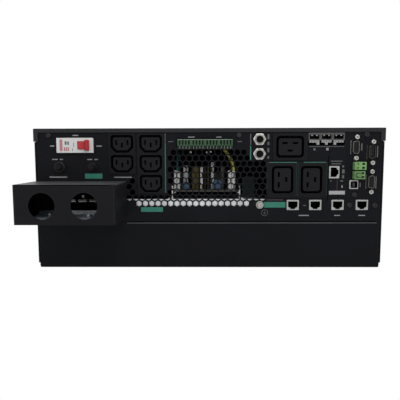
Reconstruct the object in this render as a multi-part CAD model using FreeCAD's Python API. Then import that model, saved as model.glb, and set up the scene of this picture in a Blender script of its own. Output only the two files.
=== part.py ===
"""Rack or tower online uninterruptible power supply, four units high.

The rear panel carries the sockets and faces -Y, the front bezel faces +Y, and Z is up.
The origin lies on the floor under the middle of the whole unit. Sizes are in millimetres.
"""
import FreeCAD
import Part
import math
import os

# Case: folded sheet steel tray, lid and rear panel
CASE_WIDTH = 428.0
LID_WIDTH = 432.0
CASE_HEIGHT = 174.0
CASE_DEPTH = 620.0
SHEET = 1.2
BEND = 2.6
FIT = 0.3
LID_FLANGE = 14.8
LID_LIP = 5.0
LID_LIP_END = 5.4
PANEL_HEIGHT = 116.9
SEAM_HEIGHT = CASE_HEIGHT - PANEL_HEIGHT
PANEL_LAP = 11.0
FLANGE = 12.0

# Wiring box on the rear panel, with two conduit holes
BOX_DEPTH = 69.0
BOX_WIDTH = 113.5
BOX_BOTTOM = CASE_HEIGHT - 109.3
BOX_HEIGHT = 44.5
BOX_SHEET = 1.5
BOX_BEND = 2.0
BOX_FLANGE = 9.0
BOX_SEAT = 2.4
BOX_SLIT = 0.7
CONDUIT_RADIUS = 14.8
CONDUIT_Z = BOX_BOTTOM + 20.9
CONDUIT_PITCH = 46.9
CONDUIT_INSET = 31.6
BOX_TURN_UP = 8.0
TERMINAL_LEFT_X = 18.0 - CASE_WIDTH / 2
TERMINAL_POLES = 5
TERMINAL_PITCH = 15.0
TERMINAL_WALL = 1.8
TERMINAL_DEPTH = 30.0
TERMINAL_HEIGHT = 10.0
TERMINAL_FIN = 6.0

# Front bezel, doors and display
BEZEL_DEPTH = 30.0
BEZEL_WALL = 2.6
BEZEL_EDGE = 7.0
DOOR_MARGIN = 11.0
DOOR_GAP = 0.4
DISPLAY_MARGIN = 17.0
LOUVRE_HEIGHT = 4.0
LOUVRE_PITCH = 9.0
LOUVRE_MARGIN = 16.0
LOUVRE_DEPTH = 9.0
DOOR_THICK = 12.0
DOOR_RADIUS = 2.0
LEDGE = 6.0
KEY_DEPTH = 4.0
KEY_PROUD = 1.6
KEY_FIT = 0.2
DISPLAY_WIDTH = 84.0
DISPLAY_HEIGHT = 96.0
DISPLAY_Z = CASE_HEIGHT / 2 + 11.0
SCREEN_WIDTH = 56.0
SCREEN_HEIGHT = 34.0
POWER_KEY_RADIUS = 6.0
MENU_KEY_RADIUS = 4.0
MENU_KEY_PITCH = 14.0
KEY_TRAVEL = 1.0
KEY_SIDES = 8
MENU_KEY_RISE = 30.0
POWER_KEY_RISE = 12.0
SCREEN_TOP_GAP = 10.0
SCREEN_RECESS = 2.4
SCREEN_FIT = 0.2

# Hexagonal perforation of the rear panel
MESH_PITCH = 7.9
MESH_ROW = 7.05
MESH_FLATS = 6.5
MESH_TOP_Z = CASE_HEIGHT - 29.5
MESH_LEFT_X = -43.65

# Mains sockets of the smaller kind, in two moulded blocks
SMALL_WIDTH = 28.0
SMALL_HEIGHT = 21.6
SMALL_CHAMFER = 6.2
SMALL_RADIUS = 3.6
SMALL_RING = 2.3
SMALL_DEPTH = 15.0
SMALL_PITCH = 24.5
SMALL_TOP_Z = CASE_HEIGHT - 19.0
SMALL_LEFT_X = -107.0
SMALL_RIGHT_X = -71.5
SMALL_BLOCK_WIDTH = 34.2
BLOCK_PROUD = 1.4
BLOCK_DEPTH = 24.0
SLOT_THICK = 2.2
SLOT_LENGTH = 6.0
SLOT_SPREAD = 7.0
SLOT_DEPTH = 17.0
SLOT_SHIFT = 1.6
CORE_SINK = 0.6
CONTACT_THICK = 0.5
CONTACT_DEPTH = 5.0

# Mains sockets of the larger kind
LARGE_LENGTH = 34.0
LARGE_WIDTH = 26.6
LARGE_RADIUS = 4.4
LARGE_RING = 2.9
LARGE_DEPTH = 17.0
LARGE_TOP_X = 100.0
LARGE_TOP_Z = CASE_HEIGHT - 23.1
LARGE_TOP_BLOCK_WIDTH = 43.4
LARGE_TOP_BLOCK_HEIGHT = 33.6
LARGE_PAIR_X = 109.1
LARGE_PAIR_PITCH = 35.7
LARGE_PAIR_Z = CASE_HEIGHT - 63.5
LARGE_PAIR_BLOCK_WIDTH = 72.0
LARGE_PAIR_BLOCK_HEIGHT = 44.7
LARGE_SLOT_LENGTH = 6.4
LARGE_SLOT_THICK = 2.4
LARGE_SLOT_SPREAD = 6.4
LARGE_SLOT_OFFSET = 4.6
GROOVE = 0.8

# Miniature circuit breaker, laid on its side
BREAKER_X = -164.5
BREAKER_Z = CASE_HEIGHT - 20.6
BREAKER_LENGTH = 45.2
BREAKER_HEIGHT = 18.2
BREAKER_PROUD = 3.0
BREAKER_BACK_LENGTH = 80.0
BREAKER_NECK = 12.0
BREAKER_DEPTH = 66.0
LEVER_X = -155.0
LEVER_BARREL = 7.5
LEVER_BARREL_HEIGHT = 9.4
LEVER_SINK = 4.5
LEVER_REACH = 11.2
LEVER_THICK = 3.0
LEVER_HEIGHT = 13.0
LEVER_THROW = 38.0
LEVER_PIN = 1.5
RUNNING = 0.06

# Push-to-reset breakers
RESET_Z = CASE_HEIGHT - 47.4
RESET_LEFT_X = -184.5
RESET_RIGHT_X = -143.8
RESET_BUSHING = 4.6
RESET_BUTTON = 3.0
RESET_NUT_LEFT = 7.0
RESET_NUT_RIGHT = 5.8
RESET_NUT_THICK = 3.0
RESET_NUT_BEVEL = 0.7
BUSHING_PROUD = 1.2
NUT_SIDES = 12
RESET_BODY_WIDTH = 16.0
RESET_BODY_DEPTH = 30.0
RESET_BODY_HEIGHT = 14.0
RESET_PROUD = 2.4
CHARGER_X = 62.4
CHARGER_Z = CASE_HEIGHT - 31.6
CHARGER_PITCH = 17.9
CHARGER_NUT_FLATS = 14.6
CHARGER_BUSHING = 5.6
CHARGER_BUTTON = 4.1
SLIDE_FIT = 0.1

# Signal terminal plugs
SIGNAL_X = -5.05
SIGNAL_Z = CASE_HEIGHT - 16.7
SIGNAL_PLUGS = 4
SIGNAL_POLES = 4
SIGNAL_POLE_PITCH = 3.81
SIGNAL_PLUG_PITCH = 17.1
SIGNAL_HEIGHT = 11.8
SIGNAL_PROUD = 7.0
HEADER_DEPTH = 12.0

# Shielded three-port block
PORT_X = 144.2
PORT_Z = CASE_HEIGHT - 13.3
PORT_PITCH = 14.8
PORT_HEIGHT = 14.8
PORT_OPENING_WIDTH = 11.6
PORT_OPENING_HEIGHT = 5.2
PORT_OPENING_Z = PORT_Z + 2.3
PORT_DEPTH = 14.0
PORT_PROUD = 1.2
PORT_WALL = 0.6
PORT_LATCH_HEIGHT = 5.4
PORT_TONGUE_START = 4.2

# Serial sockets, upright, with jack screws
SERIAL_LENGTH = 16.6
SERIAL_WIDTH = 8.6
SERIAL_TAPER = 10.0
SERIAL_RADIUS = 2.4
SERIAL_PROUD = 4.6
SERIAL_WALL = 0.5
SERIAL_SHEET = 0.8
SERIAL_PIN_PITCH = 2.76
SERIAL_PIN_ROW = 1.42
SERIAL_PIN = 0.5
SERIAL_FLANGE_LENGTH = 30.8
SERIAL_FLANGE_WIDTH = 12.4
SERIAL_SCREW_PITCH = 25.0
SERIAL_BODY_DEPTH = 10.0
JACK_FLATS = 5.2
JACK_HEIGHT = 4.2
JACK_HOLE = 1.3
SERIAL_CUT_GAP = 0.75
SERIAL_CUT_SIDE = 1.4
SERIAL_TOP_Z = CASE_HEIGHT - 24.0
SERIAL_MIDDLE_Z = CASE_HEIGHT - 29.8
SERIAL_LOW_Z = CASE_HEIGHT - 66.2

# Data sockets
JACK_WIDTH = 16.0
JACK_TALL = 13.6
JACK_DEPTH = 16.0
JACK_PROUD = 1.0
JACK_WALL = 1.6
DATA_Z = CASE_HEIGHT - 94.8
DATA_XS = (104.4, 132.3, 159.9, 189.9)
CARD_X = 159.0
CARD_Z = CASE_HEIGHT - 54.5
CARD_WIDTH = 21.0
CARD_HEIGHT = 61.0
CARD_JACK_X = 155.4
CARD_BOARD_DEPTH = 120.0

# Square printer-type socket
SQUARE_X = 179.4
SQUARE_Z = CASE_HEIGHT - 69.5
SQUARE_SIZE = 11.4
SQUARE_OPENING = 7.8
SQUARE_TONGUE_WIDTH = 3.2
SQUARE_TONGUE_HEIGHT = 5.6
SQUARE_DEPTH = 16.0

# Two-pole green plugs
STOP_X = 185.8
STOP_TOP_Z = CASE_HEIGHT - 46.4
STOP_LOWER_Z = STOP_TOP_Z - 11.3
STOP_LENGTH = 16.5
STOP_HEIGHT = 9.6
STOP_PROUD = 9.0
STOP_HOLE = 1.2
STOP_BEVEL = 1.5
STOP_ENTRY_X = 4.0
STOP_ENTRY = 3.2
STOP_SCREW_X = 4.4
STOP_SCREW = 1.6

# Earth screw
EARTH_X = 63.6
EARTH_Z = DATA_Z
EARTH_RADIUS = 4.8
EARTH_SHANK = 2.4
EARTH_WASHER = 1.0
EARTH_HEAD_HEIGHT = 2.6
EARTH_BEVEL = 0.5
EARTH_SIDES = 16

# Filter board and what stands on it, seen through the perforation
TRAY_TOP_Z = CASE_HEIGHT - 87.6
TRAY_FRONT_GAP = 1.6
TRAY_LEFT_X = -102.0
TRAY_RIGHT_X = 72.0
TRAY_DEPTH = 92.0
TRAY_SHEET = 1.2
TRAY_DROP = 24.0
BOARD_Z = TRAY_TOP_Z + 9.0
BOARD_THICK = 1.6
BOARD_LEFT_X = -44.4
BOARD_RIGHT_X = 37.6
BOARD_FRONT = 7.0
BOARD_DEPTH = 78.0
BRACKET_TOP_Z = TRAY_TOP_Z + 16.6
BRACKET_SHEET = 1.5
BRACKET_FOOT = 4.0
FILTER_CHOKE_WIDTH = 16.0
FILTER_CHOKE_HEIGHT = 26.9
FILTER_CHOKE_DEPTH = 30.0
FILTER_CHOKE_START = 26.0

# Mid bulkhead, fans and batteries
BULKHEAD_GAP = 286.0
FAN_SIZE = CASE_HEIGHT - 54.0
FAN_DEPTH = 25.0
FAN_PITCH = CASE_WIDTH / 2 - 24.0
FAN_Z = CASE_HEIGHT / 2 + 1.0
FAN_BORE = FAN_SIZE / 2 - 3.0
FAN_HUB = 20.0
FAN_BLADES = 7
FAN_PIN = 2.0
FAN_SIDES = 32
FAN_STRUT = 2.5
FAN_END_GAP = 0.7
FAN_TIP_GAP = 1.2
FAN_BLADE = 1.6
FAN_BLADE_WIDTH = 18.0
FAN_BLADE_TILT = 38.0
BATTERY_WIDTH = CASE_WIDTH / 2 - 8.0
BATTERY_HEIGHT = CASE_HEIGHT - 24.0
BATTERY_DEPTH = 320.0
BATTERY_GAP = 2.0
GRIP_WIDTH = 90.0
GRIP_HEIGHT = 34.0
GRIP_DEPTH = 22.0
GRIP_BAR = 6.0
STANDOFF_HEIGHT = 10.0
STANDOFF_RADIUS = 3.0
MAIN_BOARD_THICK = 2.0

MAIN_HALF_WIDTH = CASE_WIDTH / 2 - 24.0
MAIN_START = 100.0
MAIN_END_GAP = 8.0
HEAT_SINK_X = 62.0
HEAT_SINK_BACK = 8.0
HEAT_SINK_REACH = 38.0
HEAT_SINK_HEIGHT = 92.0
HEAT_SINK_FINS = 9
HEAT_SINK_FIN = 2.0
HEAT_SINK_LENGTH = 130.0
MODULE_THICK = 5.0
MODULE_LENGTH = 14.0
MODULE_PITCH = 20.0
MODULE_COUNT = 6
MODULE_HEIGHT = 26.0
CAPACITOR_RADIUS = 15.0
CAPACITOR_HEIGHT = 50.0
CAPACITOR_GAP = 3.0
CAPACITOR_ROWS = 4
CHOKE_X = MAIN_HALF_WIDTH - 50.0
CHOKE_RADIUS = 26.0
CHOKE_THICK = 24.0
CHOKE_FOOT_WIDTH = 28.0
CHOKE_FOOT_HEIGHT = 5.0
CONTROL_X = MAIN_HALF_WIDTH - 18.0
CONTROL_LENGTH = 120.0
CONTROL_HEIGHT = 96.0

# Loose wires
EARTH_WIRE_X = 12.0
EARTH_WIRE_Y = 19.5
EARTH_WIRE_RADIUS = 2.1
NEUTRAL_WIRE_X = -36.0
NEUTRAL_WIRE_Y = 19.0
NEUTRAL_WIRE_RADIUS = 1.1
JUMPER_RADIUS = 0.6
WIRE_SIDES = 6
BEND_SHARE = 0.45
LUG_THICK = 1.0
SLEEVE_DEPTH = 12.0
DISC_THICK = 4.4
DISC_SIDES = 20
SLEEVE_THICK = 7.0
SLEEVE_HEIGHT = 24.2

# Fastenings
SCREW_HEAD = 3.4
SCREW_HEAD_HEIGHT = 1.9
SCREW_SHANK = 1.5
SCREW_SIDES = 12
SHANK_SIDES = 6
BOX_SCREW = 2.6
BOX_SCREW_HEIGHT = 2.4
BOX_SCREW_X = 11.0
BOX_SCREW_Y = 30.0
EAR_HOLE = 2.25
EAR_PITCH_Y = 30.0
EAR_PITCH_Z = CASE_HEIGHT - 80.0
EAR_INSET = 18.0
EAR_LOW_Z = 40.0

TOTAL_DEPTH = BOX_DEPTH + CASE_DEPTH + BEZEL_DEPTH
REAR_Y = BOX_DEPTH - TOTAL_DEPTH / 2
FRONT_Y = REAR_Y + CASE_DEPTH
LAP_Y = REAR_Y - SHEET - FIT
PANEL_BACK_Y = REAR_Y + SHEET
HALF_CASE = CASE_WIDTH / 2
HALF_LID = LID_WIDTH / 2
WALL_IN = HALF_CASE - SHEET
LID_UNDER = CASE_HEIGHT - SHEET
TRAY_WALL_TOP = LID_UNDER - FIT
PANEL_HALF = WALL_IN - FIT
BOX_LEFT = -HALF_LID
BOX_RIGHT = BOX_LEFT + BOX_WIDTH
BOX_TOP = BOX_BOTTOM + BOX_HEIGHT
BOX_FRONT = REAR_Y - BOX_DEPTH
BULKHEAD_Y = REAR_Y + BULKHEAD_GAP
BATTERY_BACK_Y = BULKHEAD_Y + SHEET + BATTERY_GAP
BOARD_TOP_Z = BOARD_Z + BOARD_THICK
SLEEVE_TOP_Z = BOARD_TOP_Z + SLEEVE_HEIGHT
MAIN_TOP_Z = SHEET + STANDOFF_HEIGHT + MAIN_BOARD_THICK
MAIN_Y0 = REAR_Y + MAIN_START
MAIN_Y1 = BULKHEAD_Y - FAN_DEPTH - MAIN_END_GAP
HEAT_SINK_Y0 = MAIN_Y1 - HEAT_SINK_LENGTH
CONTROL_Y0 = MAIN_Y1 - CONTROL_LENGTH
DOOR_WIDTH = (LID_WIDTH - DISPLAY_WIDTH) / 2 - BEZEL_EDGE - DISPLAY_MARGIN
DOOR_HEIGHT = CASE_HEIGHT - 2 * DOOR_MARGIN


def vec(x, y, z):
    """Return a point or direction."""
    return FreeCAD.Vector(x, y, z)


def box(x0, x1, y0, y1, z0, z1):
    """Return a block between two limits on each axis."""
    return Part.makeBox(x1 - x0, y1 - y0, z1 - z0, vec(x0, y0, z0))


def rod_y(x, z, radius, y0, y1):
    """Return a cylinder along Y."""
    return Part.makeCylinder(radius, y1 - y0, vec(x, y0, z), vec(0, 1, 0))


def rod_x(y, z, radius, x0, x1):
    """Return a cylinder along X."""
    return Part.makeCylinder(radius, x1 - x0, vec(x0, y, z), vec(1, 0, 0))


def rod_z(x, y, radius, z0, z1):
    """Return a cylinder along Z."""
    return Part.makeCylinder(radius, z1 - z0, vec(x, y, z0))


def prism_y(points, y0, y1):
    """Return a prism along Y from (x, z) corners."""
    ring = [vec(x, y0, z) for x, z in points]
    wire = Part.makePolygon(ring + ring[:1])
    return Part.Face(wire).extrude(vec(0, y1 - y0, 0))


def prism_x(points, x0, x1):
    """Return a prism along X from (y, z) corners."""
    ring = [vec(x0, y, z) for y, z in points]
    wire = Part.makePolygon(ring + ring[:1])
    return Part.Face(wire).extrude(vec(x1 - x0, 0, 0))


def prism_z(points, z0, z1):
    """Return a prism along Z from (x, y) corners."""
    ring = [vec(x, y, z0) for x, y in points]
    wire = Part.makePolygon(ring + ring[:1])
    return Part.Face(wire).extrude(vec(0, 0, z1 - z0))


def corners(a, b, reach, sides, turn=0.0):
    """Return the corners of a regular outline about the point (a, b)."""
    angles = [math.radians(turn) + 2 * math.pi * step / sides for step in range(sides)]
    return [(a + reach * math.cos(angle), b + reach * math.sin(angle)) for angle in angles]


def bevelled(points, reach):
    """Return an outline whose corners are cut back by a reach along both sides."""
    ring = []
    for before, here, after in zip(points[-1:] + points[:-1], points, points[1:] + points[:1]):
        for near in (before, after):
            share = reach / math.dist(here, near)
            ring.append((here[0] + (near[0] - here[0]) * share, here[1] + (near[1] - here[1]) * share))
    return ring


def reach_round(radius, sides):
    """Return the corner radius of a regular hole that clears a shaft of this radius."""
    return radius / math.cos(math.pi / sides)


def centred_y(cx, cz, width, height, y0, y1):
    """Return a block along Y about a middle point."""
    return box(cx - width / 2, cx + width / 2, y0, y1, cz - height / 2, cz + height / 2)


def round_along(shape, axis, radius, keep=None):
    """Fillet the straight edges that run along an axis, where keep accepts their middle."""
    chosen = []
    for edge in shape.Edges:
        if not isinstance(edge.Curve, (Part.Line, Part.LineSegment)):
            continue
        start = edge.Vertexes[0].Point
        end = edge.Vertexes[-1].Point
        if abs((end - start).normalize().dot(axis)) < 0.999:
            continue
        middle = (start + end) * 0.5
        if keep is None or keep(middle):
            chosen.append(edge)
    return shape.makeFillet(radius, chosen)


def pad_y(cx, cz, width, height, radius, y0, y1):
    """Return a block along Y with its four long edges rounded."""
    return round_along(centred_y(cx, cz, width, height, y0, y1), vec(0, 1, 0), radius)


def slot_y(cx, cz, width, height, y0, y1):
    """Return a flat slot form along Y with pointed ends."""
    tip = width / 2
    flat = tip - height / 2
    half = height / 2
    points = [(cx - tip, cz), (cx - flat, cz + half), (cx + flat, cz + half),
              (cx + tip, cz), (cx + flat, cz - half), (cx - flat, cz - half)]
    return prism_y(points, y0, y1)


def hexagon_y(x, z, flats, y0, y1, turn=0.0):
    """Return a hexagonal prism along Y; its flats face left and right at turn 0."""
    return prism_y(corners(x, z, flats / math.sqrt(3), 6, 30 + turn), y0, y1)


def fuse_all(shapes):
    """Join touching shapes into one clean solid."""
    joined = shapes[0].multiFuse(list(shapes[1:]))
    return joined.removeSplitter()


def cut_all(shape, tools):
    """Cut several tools from a shape."""
    return shape.cut(Part.makeCompound(tools)).removeSplitter()


# Case

def ear_holes():
    """Return the side-wall holes for rack ears, four on each side."""
    holes = []
    for side in (-1, 1):
        for step_y in (0, 1):
            for step_z in (0, 1):
                y = FRONT_Y - EAR_INSET - step_y * EAR_PITCH_Y
                z = EAR_LOW_Z + step_z * EAR_PITCH_Z
                x0 = side * HALF_CASE - 3 * SHEET
                holes.append(rod_x(y, z, EAR_HOLE, x0, x0 + 6 * SHEET))
    return holes


def lid_screw_places():
    """Return (side, y) of the screws through the lid's side flanges."""
    spread = CASE_DEPTH / 2 - FLANGE
    middle = (REAR_Y + FRONT_Y) / 2
    return [(side, middle + k * spread) for side in (-1, 1) for k in (-0.8, 0.0, 0.8)]


def lid_screw_z():
    """Return the height of the lid's side screws."""
    return LID_UNDER - LID_FLANGE / 2


def chassis_tray():
    """Folded tray: base, two side walls, low rear wall and front flanges."""
    outer = box(-HALF_CASE, HALF_CASE, LAP_Y + BEND, FRONT_Y, 0, TRAY_WALL_TOP)
    outer = round_along(outer, vec(0, 1, 0), BEND, lambda p: p.z < 1)
    inner = box(-WALL_IN, WALL_IN, LAP_Y, FRONT_Y + 1, SHEET, TRAY_WALL_TOP + 1)
    inner = round_along(inner, vec(0, 1, 0), BEND - SHEET, lambda p: p.z < 2)
    channel = outer.cut(inner)
    channel = channel.cut(box(-HALF_LID, HALF_LID, LAP_Y, REAR_Y, SEAM_HEIGHT, CASE_HEIGHT))
    half = WALL_IN - FIT
    rear = box(-half, half, LAP_Y, LAP_Y + 3 * BEND, 0, SEAM_HEIGHT)
    rear = round_along(rear, vec(1, 0, 0), BEND, lambda p: p.y < LAP_Y + 1 and p.z < 1)
    hollow = box(-half, half, LAP_Y + SHEET, LAP_Y + 4 * BEND, SHEET, SEAM_HEIGHT + 1)
    hollow = round_along(hollow, vec(1, 0, 0), BEND - SHEET, lambda p: p.y < LAP_Y + 2 and p.z < 2)
    rear = rear.cut(hollow)
    flange_top = LID_UNDER - FLANGE + FIT
    parts = [channel, rear]
    for side in (-1, 1):
        x = side * (WALL_IN - FLANGE / 2)
        flange = box(x - FLANGE / 2, x + FLANGE / 2, FRONT_Y - SHEET, FRONT_Y, SHEET, flange_top)
        parts.append(flange)
    parts.append(box(-WALL_IN, WALL_IN, FRONT_Y - SHEET, FRONT_Y, SHEET, FLANGE))
    tray = fuse_all(parts + standoffs())
    holes = ear_holes()
    for side, y in lid_screw_places():
        x0 = side * HALF_CASE - 3 * SHEET
        outline = corners(y, lid_screw_z(), SCREW_SHANK + SLIDE_FIT, SHANK_SIDES)
        holes.append(prism_x(outline, x0, x0 + 6 * SHEET))
    return cut_all(tray, holes)


def top_cover():
    """Lid with side flanges and a rear lip that turns down over the rear panel."""
    top = box(-HALF_LID, HALF_LID, LAP_Y, FRONT_Y, LID_UNDER - LID_FLANGE, CASE_HEIGHT)
    top = round_along(top, vec(0, 1, 0), BEND / 2, lambda p: p.z > LID_UNDER)
    under = box(-HALF_LID + SHEET, HALF_LID - SHEET, LAP_Y + SHEET, FRONT_Y + 1, 0, LID_UNDER)
    shell = top.cut(under)
    window = box(-HALF_LID + LID_LIP_END, HALF_LID - LID_LIP_END, LAP_Y - 1, LAP_Y + SHEET + FIT / 2,
                 LID_UNDER - LID_FLANGE - 1, CASE_HEIGHT - LID_LIP)
    shell = shell.cut(window)
    front_half = WALL_IN - FLANGE - FIT
    front = box(-front_half, front_half, FRONT_Y - SHEET, FRONT_Y, LID_UNDER - FLANGE, LID_UNDER)
    shell = fuse_all([shell, front])
    holes = []
    for side, y in lid_screw_places():
        x0 = side * HALF_LID - 2 * SHEET
        outline = corners(y, lid_screw_z(), SCREW_HEAD + SLIDE_FIT, SCREW_SIDES)
        holes.append(prism_x(outline, x0, x0 + 4 * SHEET))
    return cut_all(shell, holes)


def lid_screws():
    """Six flush screws that hold the lid's side flanges."""
    screws = []
    z = lid_screw_z()
    for side, y in lid_screw_places():
        outer = side * HALF_LID
        inner = side * (HALF_LID - SHEET)
        deep = side * (WALL_IN - 4 * SHEET)
        head = prism_x(corners(y, z, SCREW_HEAD, SCREW_SIDES), outer, inner)
        shank = prism_x(corners(y, z, SCREW_SHANK, SHANK_SIDES), inner, deep)
        screws.append(fuse_all([head, shank]))
    return screws


# Rear panel

def mesh_rows():
    """Return (x, z) of every hexagonal hole, row by row from the top."""
    spans = [(0, 11), (0, 12), (0, 14), (0, 15), (0, 14), (0, 15), (0, 14), (0, 15), (-7, 14), (-5, 12)]
    places = []
    for row, (first, last) in enumerate(spans):
        shift = 0.0 if row % 2 == 0 else -MESH_PITCH / 2
        for column in range(first, last + 1):
            places.append((MESH_LEFT_X + shift + column * MESH_PITCH, MESH_TOP_Z - row * MESH_ROW))
    for row, column in ((5, -6), (6, -7), (7, -6)):
        shift = 0.0 if row % 2 == 0 else -MESH_PITCH / 2
        places.append((MESH_LEFT_X + shift + column * MESH_PITCH, MESH_TOP_Z - row * MESH_ROW))
    return places


def small_block_spans():
    """Return (x, low z, high z, socket count) of the two smaller socket blocks."""
    high = SMALL_TOP_Z + SMALL_PITCH / 2 + FIT
    return [
        (SMALL_LEFT_X, high - 2 * SMALL_PITCH - 2 * FIT, high, 2),
        (SMALL_RIGHT_X, high - 3 * SMALL_PITCH - 2 * FIT, high, 3),
    ]


def serial_places():
    """Return (x, z, side of the visible flange, pins shown) of the serial sockets."""
    return [
        (181.7, SERIAL_TOP_Z, -1, False),
        (202.0, SERIAL_MIDDLE_Z, 1, True),
        (201.7, SERIAL_LOW_Z, -1, False),
    ]


def reset_places():
    """Return (name, x, z, bushing, button, nut) of the four push-to-reset breakers."""
    return [
        ("left", RESET_LEFT_X, RESET_Z, RESET_BUSHING, RESET_BUTTON),
        ("right", RESET_RIGHT_X, RESET_Z, RESET_BUSHING, RESET_BUTTON),
        ("upper", CHARGER_X, CHARGER_Z + CHARGER_PITCH, CHARGER_BUSHING, CHARGER_BUTTON),
        ("lower", CHARGER_X, CHARGER_Z, CHARGER_BUSHING, CHARGER_BUTTON),
    ]


def rear_screw_places():
    """Return (x, z) of the small screws in the rear panel."""
    places = [(x, CASE_HEIGHT - 8.4) for x in (-197.4, 37.2, 193.6)]
    places.extend([(174.8, DATA_Z - 0.4), (206.0, DATA_Z - 0.8), (SQUARE_X + 1.0, SQUARE_Z - 12.5)])
    return places


def panel_sheet():
    """Return the rear sheet with its folded edges, before it is cut."""
    low = SEAM_HEIGHT - PANEL_LAP
    top = TRAY_WALL_TOP
    back = REAR_Y + FLANGE
    plate = box(-PANEL_HALF, PANEL_HALF, REAR_Y, PANEL_BACK_Y, low, top)
    fold_top = box(-PANEL_HALF, PANEL_HALF, REAR_Y, back, top - SHEET, top)
    fold_left = box(-PANEL_HALF, -PANEL_HALF + SHEET, REAR_Y, back, SEAM_HEIGHT, top)
    fold_right = box(PANEL_HALF - SHEET, PANEL_HALF, REAR_Y, back, SEAM_HEIGHT, top)
    return fuse_all([plate, fold_top, fold_left, fold_right])


def mains_cuts(y0, y1):
    """Return the cut-outs of the mains sockets."""
    cuts = []
    inset = 2 * BLOCK_PROUD
    for x, z0, z1, _ in small_block_spans():
        cuts.append(centred_y(x, (z0 + z1) / 2, SMALL_BLOCK_WIDTH - inset, z1 - z0 - inset, y0, y1))
    cuts.append(centred_y(LARGE_TOP_X, LARGE_TOP_Z, LARGE_TOP_BLOCK_WIDTH - inset,
                          LARGE_TOP_BLOCK_HEIGHT - inset, y0, y1))
    cuts.append(centred_y(LARGE_PAIR_X, LARGE_PAIR_Z, LARGE_PAIR_BLOCK_WIDTH - inset,
                          LARGE_PAIR_BLOCK_HEIGHT - inset, y0, y1))
    return cuts


def breaker_cuts(y0, y1):
    """Return the cut-outs of the circuit breaker and of the reset breakers' bushings."""
    cuts = [centred_y(BREAKER_X, BREAKER_Z, BREAKER_LENGTH + 2 * FIT, BREAKER_HEIGHT + 2 * FIT, y0, y1)]
    for _, x, z, bushing, _ in reset_places():
        cuts.append(prism_y(corners(x, z, reach_round(bushing + SLIDE_FIT, NUT_SIDES), NUT_SIDES), y0, y1))
    return cuts


def serial_cuts(y0, y1):
    """Return the cut-outs of the serial sockets and of their jack posts."""
    cuts = []
    for x, z, side, _ in serial_places():
        left = x - SERIAL_WIDTH / 2 - SERIAL_CUT_GAP - max(0, -side) * SERIAL_CUT_SIDE
        right = x + SERIAL_WIDTH / 2 + SERIAL_CUT_GAP + max(0, side) * SERIAL_CUT_SIDE
        half = SERIAL_LENGTH / 2 + SERIAL_CUT_GAP
        cuts.append(box(left, right, y0, y1, z - half, z + half))
        for k in (-0.5, 0.5):
            outline = corners(x, z + k * SERIAL_SCREW_PITCH, JACK_HOLE + 2 * FIT, SHANK_SIDES)
            cuts.append(prism_y(outline, y0, y1))
    return cuts


def signal_cuts(y0, y1):
    """Return the cut-outs of the signal plugs, ports, data sockets, card and stop plugs."""
    gap = 2 * FIT
    cuts = [
        centred_y(SIGNAL_X, SIGNAL_Z, SIGNAL_PLUGS * SIGNAL_PLUG_PITCH + gap, SIGNAL_HEIGHT + gap, y0, y1),
        centred_y(PORT_X, PORT_Z, 3 * PORT_PITCH + gap, PORT_HEIGHT + gap, y0, y1),
        centred_y(CARD_X, CARD_Z, CARD_WIDTH + gap, CARD_HEIGHT + gap, y0, y1),
        centred_y(SQUARE_X, SQUARE_Z, SQUARE_SIZE + gap, SQUARE_SIZE + gap, y0, y1),
    ]
    for x in DATA_XS:
        cuts.append(centred_y(x, DATA_Z, JACK_WIDTH + gap, JACK_TALL + gap, y0, y1))
    for z in (STOP_TOP_Z, STOP_LOWER_Z):
        cuts.append(centred_y(STOP_X, z, STOP_LENGTH + gap, STOP_HEIGHT + gap, y0, y1))
    return cuts


def screw_cuts(y0, y1):
    """Return the holes of the earth screw and of the small screws."""
    cuts = [prism_y(corners(EARTH_X, EARTH_Z, EARTH_SHANK + SLIDE_FIT, SHANK_SIDES), y0, y1)]
    for x, z in rear_screw_places():
        cuts.append(prism_y(corners(x, z, SCREW_SHANK + SLIDE_FIT, SHANK_SIDES), y0, y1))
    return cuts


def rear_panel():
    """Rear sheet with folded edges, all socket cut-outs and the hexagonal perforation."""
    y0 = REAR_Y - 1
    y1 = PANEL_BACK_Y + 1
    cuts = [hexagon_y(x, z, MESH_FLATS, y0, y1) for x, z in mesh_rows()]
    for group in (mains_cuts, breaker_cuts, serial_cuts, signal_cuts, screw_cuts):
        cuts.extend(group(y0, y1))
    cuts.append(wiring_window(y0, y1))
    return cut_all(panel_sheet(), cuts)


def rear_screws():
    """Small pan-head screws of the rear panel."""
    screws = []
    for x, z in rear_screw_places():
        head = prism_y(corners(x, z, SCREW_HEAD, SCREW_SIDES), REAR_Y - SCREW_HEAD_HEIGHT, REAR_Y)
        shank = prism_y(corners(x, z, SCREW_SHANK, SHANK_SIDES), REAR_Y, PANEL_BACK_Y + 4)
        screws.append(fuse_all([head, shank]))
    return screws


# Wiring box

def wiring_window(y0, y1):
    """Return the opening in the rear panel behind the wiring box."""
    x0 = -PANEL_HALF + FLANGE
    return box(x0, BOX_RIGHT - FLANGE, y0, y1, BOX_BOTTOM + BOX_TURN_UP, BOX_TOP - FLANGE)


def conduit_places():
    """Return x of the two conduit holes."""
    return [BOX_LEFT + CONDUIT_INSET, BOX_LEFT + CONDUIT_INSET + CONDUIT_PITCH]


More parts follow.
